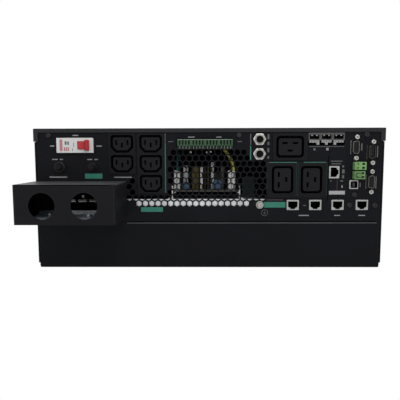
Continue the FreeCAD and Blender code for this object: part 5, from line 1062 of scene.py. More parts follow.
@dataclass(frozen=True)
class Reset:
    """One push-to-reset breaker.

    Attributes:
        name: Its short name.
        x: Place along the panel.
        z: Height.
        bushing: Radius of its bushing.
        button: Radius of its button.
        nut: Radius of its round nut, or half the width of its hexagon nut.
        plated: Whether bushing and nut are plated, and the nut is a hexagon.
    """

    name: str
    x: float
    z: float
    bushing: float
    button: float
    nut: float
    plated: bool = False


@dataclass(frozen=True)
class ResetBreakers(Assembly):
    """The push-to-reset breakers with their buttons and nuts.

    Attributes:
        resets: The breakers.
        housing: Width, height and depth of a housing behind the panel.
        panel: Distance from the panel's face to the housings.
        thread: Distance between the ridges of a bushing's thread.
        play: Gap round a bushing or a button.
        nut: Height of a nut.
    """

    resets: tuple[Reset, ...] = (
        Reset("left", -184.5, 126.6, 4.6, 3.0, 7.0), Reset("right", -143.8, 126.6, 4.6, 3.0, 5.8),
        Reset("upper", 62.4, 160.3, 5.2, 4.1, 7.0, True), Reset("lower", 62.4, 142.4, 5.2, 4.1, 7.0, True))
    housing: tuple[float, float, float] = (16.0, 14.0, 15.0)
    panel: float = 1.2
    thread: float = 0.7
    play: float = 0.1
    nut: float = 3.0

    def build(self, library: MaterialLibrary) -> None:
        """Make the breakers, then their nuts.

        Args:
            library: Source of the materials.
        """
        low, high = node_box("reset_breakers")
        width, height, depth = self.housing
        seat = REAR + self.panel
        bodies, grips, nuts = Piece("reset_breakers_look"), Piece("ring_nuts_look"), Piece("hex_nuts_look")
        for reset in self.resets:
            metal = Look.PLATED if reset.plated else Look.BUTTON
            ring = circle(reset.x, reset.z, reset.bushing, 40)
            bore = circle(reset.x, reset.z, reset.button + self.play, 40)
            bodies.add(metal, prism([ring, bore], low[1], seat, front=0.3))
            for k in range(3):
                y = low[1] + 0.9 + self.thread * k
                bodies.add(metal, prism([ring, bore], y, y + self.thread / 2, 0.12, 0.12))
            housing = rectangle(reset.x, reset.z, width, height, 1.2, 3)
            bodies.add(Look.BUTTON, prism([housing, bore], seat, seat + depth),
                       prism([housing], seat + depth, high[1], back=0.6))
            self._button(library, reset)
            (nuts if reset.plated else grips).add(*self._nut(reset))
        bodies.build(library, "reset_breakers", "button_black")
        grips.build(library, "ring_nuts", "button_black")
        nuts.build(library, "hex_nuts", "plated_steel")

    def _button(self, library: MaterialLibrary, reset: Reset) -> None:
        """Make a button with its dished face.

        Args:
            library: Source of the materials.
            reset: Its breaker.
        """
        node = "reset_button_" + reset.name
        low, high = node_box(node)
        r = reset.button
        profile = [(r * 0.35, 0.25), (r * 0.55, 0.12), (r - 0.7, 0.0), (r - 0.25, 0.18), (r, 0.7),
                   (r, high[1] - low[1])]
        piece = Piece(node + "_look")
        black = Look.DEEP_BUTTON if reset.plated else Look.BUTTON
        piece.add(black, lathe(profile, (reset.x, low[1], reset.z), 40))
        piece.build(library, node, "button_black", "reset_" + reset.name)

    def _nut(self, reset: Reset) -> tuple[Look, Shape, Shape]:
        """Make a breaker's nut: ridged and round, or a hexagon with a washer face.

        Args:
            reset: The breaker.

        Returns:
            The nut's look, its body and its raised face.
        """
        bore = circle(reset.x, reset.z, reset.bushing + self.play, 40)
        face = REAR - self.nut
        if reset.plated:
            corners = circle(reset.x, reset.z, reset.nut * 2 / math.sqrt(3), 6)
            washer = circle(reset.x, reset.z, reset.nut - 0.2, 48)
            body = prism([rounded(corners, [2.2] * 6, 4), bore], face + 0.5, REAR, front=0.25)
            return Look.NUT, body, prism([washer, bore], face, face + 0.5, front=0.45)
        grip = ridged(reset.x, reset.z, reset.nut, reset.nut - 0.35, 80)
        rim = circle(reset.x, reset.z, reset.nut - 0.5, 48)
        body = prism([grip, bore], face + 0.8, REAR)
        return Look.GLOSS_BLACK, body, prism([rim, bore], face, face + 0.8, front=0.5)


# Signal plugs and sockets

@dataclass(frozen=True)
class SignalPlugs(Assembly):
    """The four green four-pole plugs with their wire entries and clamps.

    Attributes:
        bottom: Height of their lower edge.
        step: Height of the edge between clamps and wire entries.
        top: Height of their upper edge.
        spacing: Distance between the plugs.
        width: Width of a plug.
        pole: Distance between the poles.
        shift: How far the row stands to the right of the solids' middle.
        header: Distance from the panel's face to the black header.
    """

    bottom: float = 148.3
    step: float = 152.6
    top: float = 160.1
    spacing: float = 16.85
    width: float = 16.7
    pole: float = 3.81
    shift: float = 0.5
    header: float = 1.3

    def build(self, library: MaterialLibrary) -> None:
        """Make the four plugs and the black strip over them.

        Args:
            library: Source of the materials.
        """
        low, high = node_box("signal_plugs")
        piece = Piece("signal_plugs_look")
        for plug in range(4):
            x = (low[0] + high[0]) / 2 + self.shift + (plug - 1.5) * self.spacing
            self._plug(piece, x, low[1])
            header = rectangle(x, (low[2] + high[2]) / 2, self.width, high[2] - low[2])
            # Header behind the plug in darkened plug green: painted shade.
            piece.add(Look.SIGNAL_SHADE, prism([header], REAR + self.header, high[1]))
        strip = block((low[0], REAR, self.top), (high[0], REAR + 1.2, high[2] + 0.1), 0.05)
        piece.add(Look.PANEL, strip)
        piece.build(library, "signal_plugs", "signal_green")

    def _plug(self, piece: Piece, x: float, front: float) -> None:
        """Add one plug: wire entries above, clamps below in windows darkened with painted shade.

        Args:
            piece: Piece that it joins.
            x: Its middle.
            front: y of its face.
        """
        bottom, step, top, back = self.bottom, self.step, self.top, REAR + self.header
        poles = [x + (k - 1.5) * self.pole for k in range(4)]
        slots = [rectangle(px, (step + top) / 2 + 0.1, 2.25, top - step - 1.9, 0.3, 2) for px in poles]
        upper = rectangle(x, (step + top) / 2, self.width, top - step, 0.3, 2)
        piece.add(Look.SIGNAL, prism([upper, *slots], front, front + 4.6, front=0.2),
                  prism([upper], front + 4.6, back))
        middle = (bottom + step) / 2
        lower = rectangle(x, middle, self.width, step - bottom, 0.3, 2)
        windows = [rectangle(px, middle - 0.1, 2.7, step - bottom - 1.0, 0.3, 2) for px in poles]
        rear = rectangle(x, middle, self.width, step - bottom)
        # Recessed lower face and the space behind its windows in darkened plug green: painted shade.
        piece.add(Look.SIGNAL_SHADE, prism([lower, *windows], front + 0.5, front + 3.0, front=0.15),
                  prism([rear], front + 3.0, back))
        for px in poles:
            wedge = np.array([(px - 0.25, bottom + 0.5), (px + 0.55, bottom + 0.5), (px + 0.85, step - 0.7),
                              (px - 0.15, step - 0.7)])
            piece.add(Look.CLAMP, prism([wedge], front + 0.9, front + 3.0, front=0.15))
            # Darkened floor in each wire entry: painted shade.
            floor = block((px - 1.1, front + 3.6, step + 1.1), (px + 1.1, front + 4.6, top - 1.0), 0.1)
            piece.add(Look.SIGNAL_SHADE, floor)
        # Light ledge along the plug's top: painted highlight.
        ledge = block((x - 8.3, front - 0.1, top - 0.55), (x + 8.3, front + 0.6, top), 0.12)
        piece.add(Look.SIGNAL_TOP_HIGHLIGHT, ledge)


@dataclass(frozen=True)
class ShieldedPorts(Assembly):
    """The three-port block with its spring tabs and the bright bars below.

    Attributes:
        spacing: Distance between the ports.
        opening: Width and height of a port.
        rise: Height of the ports over the block's middle.
        band: Height of the band of bars below the cage.
        bar: Width and height of a bar.
        depth: How far the bars reach behind the panel's face.
    """

    spacing: float = 14.8
    opening: tuple[float, float] = (11.6, 5.2)
    rise: float = 2.3
    band: float = 5.4
    bar: tuple[float, float] = (12.2, 3.0)
    depth: float = 6.0

    def build(self, library: MaterialLibrary) -> None:
        """Make the cage, its tabs and the bars.

        Args:
            library: Source of the materials.
        """
        low, high = node_box("port_shell")
        front, back, end = low[1], high[1], REAR + self.depth
        middle, _, half_way = (low + high) / 2
        z, bar_z = half_way + self.rise, low[2] + 4.2
        width, height = self.opening
        xs = [middle + (k - 1) * self.spacing for k in range(3)]
        holes = [rectangle(x, z, width, height, 0.4, 2) for x in xs]
        shell = rectangle(middle, (low[2] + self.band + high[2]) / 2, high[0] - low[0],
                          high[2] - low[2] - self.band, 0.8, 3)
        piece = Piece("port_shell_look")
        piece.add(Look.CAGE, prism([shell, *holes], front, back - 0.8, front=0.15),
                  prism([shell], back - 0.8, back))
        for k, x in enumerate(xs):
            for side in (-3.0, 3.0):
                piece.add(Look.BAR, block((x + side - 1.0, front + 0.3, z + 1.1),
                                          (x + side + 1.0, front + 3.4, z + 2.8)))
            floor = rectangle(x, z, width + 0.4, height + 0.4)
            # Dark floor in each port: painted shade.
            piece.add(Look.GAP, prism([floor], front + 5.0, front + 5.4))
            slots = [rectangle(x + dx, bar_z - 0.1, 1.5, 0.7, 0.2, 2) for dx in (-3.6, 0.0, 3.6)]
            bar = rectangle(x, bar_z, *self.bar, 0.5, 3)
            tab = x + (1 - k) * 4.4
            piece.add(Look.BAR, prism([bar, *slots], front, front + 2.0, front=0.25),
                      prism([bar], front + 2.0, end),
                      block((tab - 1.6, front, low[2]), (tab + 1.6, end, low[2] + 3.0)))
        piece.build(library, "port_shell", "nickel_shell")


@dataclass(frozen=True)
class SerialSockets(Assembly):
    """The upright serial sockets with their shells, inserts and jack posts.

    Attributes:
        sockets: (x, z, side of the long edge, whether it holds pins) of each socket.
        posts: x and z of each post.
        half_length: Half the length of a shell.
        half_width: Half the width of a shell.
        slope: Slope of a shell's ends in degrees.
        wall: Thickness of a shell.
        proud: How far a shell stands out of the panel.
        pitch: Distance between the contacts of a row.
        row: Distance of each row from the middle.
        post: Distance between a post's flats.
        bore: Radius of a post's thread.
    """

    sockets: tuple[tuple[float, float, int, bool], ...] = (
        (179.6, 150.2, -1, False), (199.5, 144.3, 1, True), (199.5, 107.8, -1, False))
    posts: tuple[tuple[float, float], ...] = ((181.4, 162.7), (180.9, 137.0), (201.5, 156.8), (201.0, 131.2),
                                              (200.9, 120.4), (200.5, 95.3))
    half_length: float = 8.3
    half_width: float = 3.7
    slope: float = 10.0
    wall: float = 0.5
    proud: float = 4.6
    pitch: float = 2.76
    row: float = 1.25
    post: float = 5.2
    bore: float = 1.3

    def build(self, library: MaterialLibrary) -> None:
        """Make the shells, the inserts and the posts.

        Args:
            library: Source of the materials.
        """
        shells, inserts = Piece("serial_shells_look"), Piece("serial_inserts_look")
        face, back = REAR - self.proud, REAR + 1.2
        for x, z, side, pins in self.sockets:
            outer, inner, filling = (self._outline(x, z, -side, grow) for grow in (0.0, -self.wall, -0.56))
            rim = Look.DARK_NICKEL if pins else Look.SERIAL_RIM
            shells.add(rim, prism([outer, inner], face, face + 0.5, front=0.12))
            shells.add(Look.DARK_NICKEL, prism([outer, inner], face + 0.5, back))
            flange = rectangle(x + 1.4, z, 11.6, 19.6, 1.0, 3)
            shells.add(Look.PANEL, prism([flange, inner], REAR - 0.05, back + 0.8))
            shells.add(rim, block((x - 5.6, REAR - 0.35, z - 8.4), (x - 5.0, REAR + 0.3, z + 8.4), 0.12))
            spots = [(x - side * self.row, z + (k - 2) * self.pitch) for k in range(5)]
            spots.extend((x + side * self.row, z + (k - 1.5) * self.pitch) for k in range(4))
            if pins:
                inserts.add(Look.INSERT, prism([filling], REAR, back + 10.0))
                profile = [(0.2, 0.0), (0.5, 0.4), (0.5, 3.7)]
                inserts.add(Look.SERIAL_PIN, *(lathe(profile, (px, REAR - 3.6, pz), 12) for px, pz in spots))
            else:
                holes = [circle(px, pz, 0.62, 10) for px, pz in spots]
                inserts.add(Look.SERIAL_FACE, prism([filling, *holes], face + 0.1, face + 3.0, front=0.1))
                inserts.add(Look.INSERT, prism([filling], face + 3.0, back + 10.0))
        shells.build(library, "serial_shells", "nickel_shell")
        inserts.build(library, "serial_inserts", "insert_dark")
        self._posts(library)

    def _posts(self, library: MaterialLibrary) -> None:
        """Make the hexagonal posts with their threaded bores.

        Args:
            library: Source of the materials.
        """
        posts = Piece("jack_screws_look")
        for x, z in self.posts:
            post, bore = circle(x, z, self.post / math.sqrt(3), 6, 30.0), circle(x, z, self.bore, 20)
            posts.add(Look.NUT, prism([circle(x, z, 2.5, 28), bore], REAR - 3.0, REAR - 2.6, front=0.3),
                      prism([post, bore], REAR - 2.6, REAR, front=0.2))
            posts.add(Look.PLATED, prism([bore], REAR - 0.3, REAR + 4.2))
        posts.build(library, "jack_screws", "plated_steel")

    def _outline(self, x: float, z: float, side: int, grow: float) -> Loop:
        """Return the D outline of an upright socket.

        Args:
            x: Middle x.
            z: Middle z.
            side: Side of the long edge, -1 left or 1 right.
            grow: How far the outline is set out.

        Returns:
            Points of the outline, anticlockwise.
        """
        half_l, half_w = self.half_length + grow, self.half_width + grow
        slope = 2 * half_w * math.tan(math.radians(self.slope))
        corners = np.array([(x + side * half_w, z + half_l), (x + side * half_w, z - half_l),
                            (x - side * half_w, z - half_l + slope), (x - side * half_w, z + half_l - slope)])
        if signed_area(corners) < 0:
            corners = corners[::-1]
        return rounded(corners, [2.4 + grow] * 4, 5)


@dataclass(frozen=True)
class DataJacks(Assembly):
    """The shielded data sockets with stepped lower corners and sprung contacts.

    Attributes:
        places: (x, z, whether it is turned on its side and has lamp windows) of each socket.
        width: Width of a frame.
        height: Height of a frame.
        profile: Right half of the opening's outline, from the top down.
        proud: How far a frame stands out of the panel.
        depth: How far it reaches behind the panel's face.
        pitch: Distance between the contacts.
    """

    places: tuple[tuple[float, float, bool], ...] = (
        (104.4, 79.2, False), (132.3, 79.2, False), (159.9, 79.2, False), (189.9, 79.2, False),
        (154.7, 119.7, True))
    width: float = 15.1
    height: float = 12.7
    profile: tuple[tuple[float, float], ...] = ((5.8, 4.4), (5.8, -2.0), (4.7, -3.1), (2.9, -3.8), (2.6, -5.2))
    proud: float = 1.0
    depth: float = 16.0
    pitch: float = 1.02

    def build(self, library: MaterialLibrary) -> None:
        """Make the frames, their dark linings, the contacts and the lamp windows.

        Args:
            library: Source of the materials.
        """
        opening = np.array([(-x, z) for x, z in self.profile] + list(self.profile[::-1]))
        border = rectangle(0, 0, self.width, self.height, 0.5, 2)
        lining = rectangle(0, -0.1, 12.7, 11.4, 0.3, 2)
        strips = [rectangle((k - 3.5) * self.pitch, 3.4, 0.4, 1.0) for k in range(8)]
        windows = [rectangle(x, -4.6, 2.0, 2.0, 0.3, 2) for x in (-5.3, 5.3)]
        front, back = REAR - self.proud, REAR + self.depth
        piece = Piece("data_jacks_look")
        for place in self.places:
            rim, hole, sleeve, gap = (self._placed(loop, *place)
                                      for loop in (border, opening, lining, opening * 0.97))
            piece.add(Look.JACK, prism([rim, hole], front, back - 1.6, front=0.18))
            piece.add(Look.SHIELD, prism([rim], back - 1.6, back))
            # Dark lining in each opening: painted shade.
            piece.add(Look.GAP, prism([sleeve, gap], front + 0.5, back - 1.7),
                      prism([sleeve], back - 1.7, back - 1.62))
            for strip in strips:
                piece.add(Look.SOCKET_PIN, prism([self._placed(strip, *place)], front + 6.0, front + 11.0, front=0.1))
            for window in windows if place[2] else ():
                pane = prism([self._placed(window, *place)], front + 0.02, front + 1.0, front=0.2)
                piece.add(Look.LAMP_WINDOW, pane)
        piece.build(library, "data_jacks", "nickel_shell")

    def _placed(self, loop: Loop, x: float, z: float, turned: bool) -> Loop:
        """Move an outline from the origin to a socket's place, first turned by a right angle if asked."""
        return (np.column_stack([-loop[:, 1], loop[:, 0]]) if turned else loop) + (x, z)


@dataclass(frozen=True)
class SquareSocket(Assembly):
    """The square shielded socket with its tongue.

    Attributes:
        half: Half the width of the opening.
        cut: Cut of the opening's upper corners.
        shell: Width and height of the shell.
        shift: How far the shell stands to the left of the opening's middle.
        wall: Thickness of the shell's back.
    """

    half: float = 4.2
    cut: float = 1.3
    shell: tuple[float, float] = (10.8, 11.0)
    shift: float = 0.3
    wall: float = 2.0

    def build(self, library: MaterialLibrary) -> None:
        """Make the shell, the tongue and the dark lining.

        Args:
            library: Source of the materials.
        """
        low, high = node_box("square_socket")
        x, _, z = (low + high) / 2
        front, back, h, c = low[1], high[1] - self.wall, self.half, self.half - self.cut
        corners = np.array([(-h, -h), (h, -h), (h, c), (c, h), (-c, h), (-h, c)])
        shell = rectangle(x - self.shift, z, *self.shell, 0.7, 3)
        piece = Piece("square_socket_look")
        piece.add(Look.JACK, prism([shell, corners + (x, z)], front, back, front=0.2))
        piece.add(Look.SHIELD, prism([shell], back, high[1]))
        piece.add(Look.VIOLET_INSERT, block((x - 1.6, front + 1.4, z - 2.8), (x + 1.6, back + 0.5, z + 2.8), 0.4))
        lining = [rectangle(x, z, 9.6, 9.6), corners * 0.97 + (x, z)]
        # Dark lining in the opening: painted shade.
        piece.add(Look.GAP, prism(lining, front + 0.5, back - 0.1))
        piece.build(library, "square_socket", "nickel_shell")


@dataclass(frozen=True)
class StopPlugs(Assembly):
    """The two green two-pole plugs.

    Attributes:
        height: Height of a plug.
        lengths: Length of the upper and of the lower plug.
        pole: Distance of each pole from the plug's middle.
        entry: Distance of the wire entries from the middle.
        screw: Distance of the screws from the middle, to the other side.
        floor: Depth of the wire entries.
    """

    height: float = 9.6
    lengths: tuple[float, float] = (13.7, 12.6)
    pole: float = 2.4
    entry: float = 3.4
    screw: float = 3.6
    floor: float = 5.0

    def build(self, library: MaterialLibrary) -> None:
        """Make both plugs.

        Args:
            library: Source of the materials.
        """
        low, high = node_box("stop_plugs")
        front, floor = low[1], low[1] + self.floor
        piece = Piece("stop_plugs_look")
        for z, length in zip((high[2] - self.height / 2, low[2] + self.height / 2), self.lengths):
            x = low[0] + length / 2
            poles = (z - self.pole, z + self.pole)
            entries = [rectangle(x + self.entry, pz, 3.2, 2.5, 0.4, 2) for pz in poles]
            screws = [circle(x - self.screw, pz, 1.55, 20) for pz in poles]
            body = rectangle(x, z, length, self.height, 0.5, 3)
            piece.add(Look.STOP, prism([body, *entries, *screws], front, front + 1.3, front=0.4),
                      prism([body, *entries], front + 1.3, floor), prism([body], floor, high[1]))
            for pz in poles:
                piece.add(Look.STOP_SCREW, *screw_head(1.45, 0.6, 0.2, (x - self.screw, front + 0.75, pz), OUT))
                # Dark floor in each wire entry: painted shade.
                piece.add(Look.GAP, block((x + 1.9, floor - 1.4, pz - 1.2), (x + 4.9, floor, pz + 1.2), 0.1))
            piece.add(Look.STOP, block((x + 1.2, front + 0.02, z - 4.4), (x + 1.7, front + 0.5, z + 4.4), 0.15))
        piece.build(library, "stop_plugs", "stop_green")


@dataclass(frozen=True)
class EarthScrew(Assembly):
    """The plated earth screw with its toothed washer.

    Attributes:
        washer: Radius over the washer's teeth.
        tooth: Depth of the teeth.
        sheet: Thickness of the washer.
        head: Radius of the head.
        height: Height of the head.
        shank: Radius of the shank.
    """

    washer: float = 4.8
    tooth: float = 0.3
    sheet: float = 1.0
    head: float = 3.9
    height: float = 2.6
    shank: float = 2.4

    def build(self, library: MaterialLibrary) -> None:
        """Make the washer, the head and the shank.

        Args:
            library: Source of the materials.
        """
        low, high = node_box("earth_screw")
        x, _, z = (low + high) / 2
        piece = Piece("earth_screw_look")
        teeth = ridged(x, z, self.washer, self.washer - self.tooth, 96, 6)
        piece.add(Look.NUT, prism([teeth], REAR - self.sheet, REAR, front=0.15))
        top = REAR - self.sheet - self.height
        piece.add(Look.PLATED, *screw_head(self.head, self.height, 0.7, (x, top, z), OUT),
                  prism([circle(x, z, self.shank, 24)], REAR, high[1]))
        piece.build(library, "earth_screw", "plated_steel")


# Case and wiring box

BOX_SCREWS = ((-194.6, -305.0), (-143.9, -317.0))


@dataclass(frozen=True)
class WiringBox(Assembly):
    """The wiring box: folded walls, terminals with pale caps, and a plated floor.

    Attributes:
        holes: x and z of each conduit hole.
        hole: Radius of the conduit holes.
        sheet: Thickness of the walls.
        bend: Outer radius of the folds.
        seam: Middle x and width of the dark seam under the cover.
        caps: (left, right, look) of each terminal's cap.
        clamp_z: Heights of the clamps' underside, of the caps' underside and of the caps' top.
        knob: x of the small knob.
        floor: Thickness of the floor and of the raised deck on it.
        shaded: x up to which the floor's turned-up edge lies in shade.
    """

    holes: tuple[tuple[float, float], ...] = ((-184.4, 85.6), (-137.5, 85.6))
    hole: float = 14.8
    sheet: float = 1.5
    bend: float = 2.0
    seam: tuple[float, float] = (-161.6, 104.6)
    caps: tuple[tuple[float, float, Look], ...] = (
        (-194.2, -182.8, Look.CAP_WHITE), (-178.4, -166.7, Look.CAP_WHITE), (-163.5, -152.7, Look.CAP_BEIGE),
        (-149.9, -140.3, Look.CAP_ROSE), (-134.2, -122.8, Look.CAP_ROSE))
    clamp_z: tuple[float, float, float] = (82.8, 84.2, 86.5)
    knob: float = -157.3
    floor: tuple[float, float] = (1.5, 2.0)
    shaded: float = -178.0

    def build(self, library: MaterialLibrary) -> None:
        """Make the walls, the terminals and the floor.

        Args:
            library: Source of the materials.
        """
        self._walls(library)
        self._terminals(library)
        self._floor(library)

    def _walls(self, library: MaterialLibrary) -> None:
        """Make the folded walls with the flanges at their upper edge and at the left.

        Args:
            library: Source of the materials.
        """
        low, high = node_box("wiring_box_body")
        sheet, bend, seat = self.sheet, self.bend, high[2] - self.sheet
        (middle_x, _, middle_z), (width, _, height) = (low + high) / 2, high - low
        face = rectangle(middle_x, middle_z, width - 2 * bend, height)
        seam = rectangle(self.seam[0], high[2] - 0.98, self.seam[1], 1.2, 0.3, 2)
        holes = [circle(x, z, self.hole, 64) for x, z in self.holes]
        piece = Piece("wiring_box_body_look")
        piece.add(Look.BOX, prism([face, seam, *holes], low[1], low[1] + sheet))
        # Near-black block in the seam under the cover: painted shade.
        piece.add(Look.GAP, block((low[0] + 3, low[1] + 1.2, high[2] - 2.6),
                                  (high[0] - 5, low[1] + sheet, high[2] - 0.4), 0.1))
        for side, x in ((-1, low[0]), (1, high[0])):
            centre = np.array((x - side * bend, low[1] + bend))
            angles = np.radians(np.linspace(270, 270 + side * 90, 9))
            ring = np.column_stack([np.cos(angles), np.sin(angles)])
            fold = np.vstack([centre + bend * ring, (centre + (bend - sheet) * ring)[::-1]])
            x0, x1 = sorted((x, x - side * sheet))
            piece.add(Look.BOX, flat_on([fold], high[2], height),
                      block((x0, low[1] + bend, low[2]), (x1, high[1], seat), 0.1))
        flanges = (((low[0] + bend, low[1] + sheet, seat), (high[0] - bend, low[1] + 2.4, high[2])),
                   ((low[0] + sheet, low[1] + sheet, seat - sheet), (high[0] - sheet, low[1] + 9.0, seat)),
                   ((low[0] + sheet, high[1] - 2 * sheet, low[2]), (low[0] + 4.0, high[1] - sheet, seat)))
        piece.add(Look.BOX, *(block(*corners, 0.1) for corners in flanges))
        piece.build(library, "wiring_box_body", "box_paint")

    def _terminals(self, library: MaterialLibrary) -> None:
        """Make the clamps of the terminal strip with their caps, and a small knob.

        Args:
            library: Source of the materials.
        """
        low, high = node_box("input_terminal_block")
        front, back = low[1], high[1]
        under, level, top = self.clamp_z
        piece = Piece("terminal_clamps_look")
        for x0, x1, look in self.caps:
            piece.add(Look.PLATED, block((x0 + 0.2, front + 1.0, under), (x1 - 0.2, back - 8.0, level), 0.2))
            piece.add(look, block((x0, front - 1.6, level), (x1, front + 3.4, top), 0.6))
            piece.add(Look.PLATED, *screw_head(3.2, 1.9, 0.4, ((x0 + x1) / 2, front + 12.0, top - 0.4), UP))
        knob = [(1.0, 0.0), (1.9, 0.6), (1.9, 3.2), (1.2, 3.8)]
        piece.add(Look.CAP_WHITE, lathe(knob, (self.knob, front + 1.0, top + 1.9), 20, upright=True))
        piece.add(Look.GAP, lathe([(0.8, 0.0), (0.8, 3.0)], (self.knob, front + 1.0, top - 0.5), 12, upright=True))
        piece.build(library, "terminal_clamps", "plated_steel")

    def _floor(self, library: MaterialLibrary) -> None:
        """Make the floor with its raised deck, its turned-up rear edge and its screw holes.

        Args:
            library: Source of the materials.
        """
        low, high = node_box("wiring_box_base")
        (x, y, _), (width, length, _) = (low + high) / 2, high - low
        sheet, deck = self.floor
        holes = [circle(hx, hy, 1.7, 20) for hx, hy in BOX_SCREWS]
        piece = Piece("wiring_box_base_look")
        outer = rectangle(x, y, width + 0.8, length, 0.1, 2)
        inner = rectangle(x, y, width - 3.0, length - 4.0, 0.5, 2)
        # Floor and deck in the paled steel: painted light.
        piece.add(Look.BASE_STEEL_LIT, flat_on([outer, *holes], low[2] + sheet, sheet, 0.2),
                  flat_on([inner, *holes], low[2] + sheet + deck, deck, 0.2))
        # The turned-up rear edge gets two colours: painted shade up to x shaded, painted light beyond it.
        for x0, x1, look in ((low[0], self.shaded, Look.SHADED_STEEL), (self.shaded, high[0], Look.BOX_STEEL_LIT)):
            piece.add(look, block((x0, high[1] - sheet, low[2] + 1.0), (x1, high[1], high[2])))
        piece.build(library, "wiring_box_base", "galvanised")


@dataclass(frozen=True)
class CaseTrim(Assembly):
    """The folded corners at the tray's rear, a pale strip on its folded edge that is a painted highlight, and the
    screws of the case.

    Attributes:
        corner: Depth of the folded corners.
        corner_z: Lowest and highest z of the folded corners.
        seam: Height of the upper edge of the tray's rear wall.
        edge: Left and right limit of the folded edge.
        panel_screws: x and z of each screw of the panel.
        lid_screws: y of the lid's screws at each side.
        lid_z: Height of the lid's screws.
        head: Radius of the screws' heads.
        shank: Radius of the screws' shanks.
        box_top: Height of the tops of the wiring box's screws.
    """

    corner: float = 13.0
    corner_z: tuple[float, float] = (6.0, 157.6)
    seam: float = 57.1
    edge: tuple[float, float] = (-102.0, 208.5)
    panel_screws: tuple[tuple[float, float], ...] = (
        (-197.4, 165.6), (37.2, 165.6), (193.6, 165.6), (174.8, 78.8), (206.0, 78.4), (180.4, 92.0))
    lid_screws: tuple[float, ...] = (-218.9, 19.5, 257.9)
    lid_z: float = 165.4
    head: float = 3.4
    shank: float = 1.5
    box_top: float = 70.9

    def build(self, library: MaterialLibrary) -> None:
        """Make the corners, the painted highlight on the folded edge and the screws.

        Args:
            library: Source of the materials.
        """
        tray_low, tray_high = node_box("chassis_tray")
        inner, limit = tray_high[0] - 0.4, node_box("top_cover")[1][0] - 0.5
        corners = Piece("corner_strips")
        for side in (-1, 1):
            x0, x1 = sorted((side * inner, side * limit))
            bottom, top = self.corner_z
            corners.add(Look.CASE, block((x0, REAR, bottom), (x1, REAR + self.corner, top), 0.5))
        corners.build(library)
        left, right = self.edge
        wall, seam = tray_low[1], self.seam
        fold = Piece("folded_edge")
        # Pale strip along the fold: painted highlight.
        fold.add(Look.FOLD_HIGHLIGHT, block((left, wall - 0.35, seam - 0.75), (right, wall + 0.3, seam + 0.1), 0.2))
        # Dark strip in the joint over the fold: painted shade.
        fold.add(Look.GAP, block((left, REAR - 0.06, seam + 0.1), (right, REAR + 0.4, seam + 1.5), 0.05))
        fold.build(library)
        self._screws(library)

    def _screws(self, library: MaterialLibrary) -> None:
        """Make the screws of the panel, of the lid and of the wiring box.

        Args:
            library: Source of the materials.
        """
        low, high = node_box("case_screws")
        piece = Piece("case_screws_look")
        for x, z in self.panel_screws:
            piece.add(Look.BLACK_STEEL, *screw_head(self.head, 1.9, 0.8, (x, REAR - 1.9, z), OUT),
                      prism([circle(x, z, self.shank, 20)], REAR, REAR + 5.2))
        shank = prism([circle(0, 0, self.shank, 20)], 1.2, 7.0)
        for side, limit in ((-1, low[0]), (1, high[0])):
            for y in self.lid_screws:
                place, out = (limit, y, self.lid_z), (side, 0, 0)
                piece.add(Look.BLACK_STEEL, *screw_head(self.head, 1.2, 0.3, place, out), facing(shank, place, out))
        for x, y in BOX_SCREWS:
            # Floor screws in the near-white steel: painted light.
            piece.add(Look.BOX_STEEL_LIT, *screw_head(2.0, 2.4, 0.5, (x, y, self.box_top), UP))
        piece.build(library, "case_screws", "black_screw")


# Behind the perforation

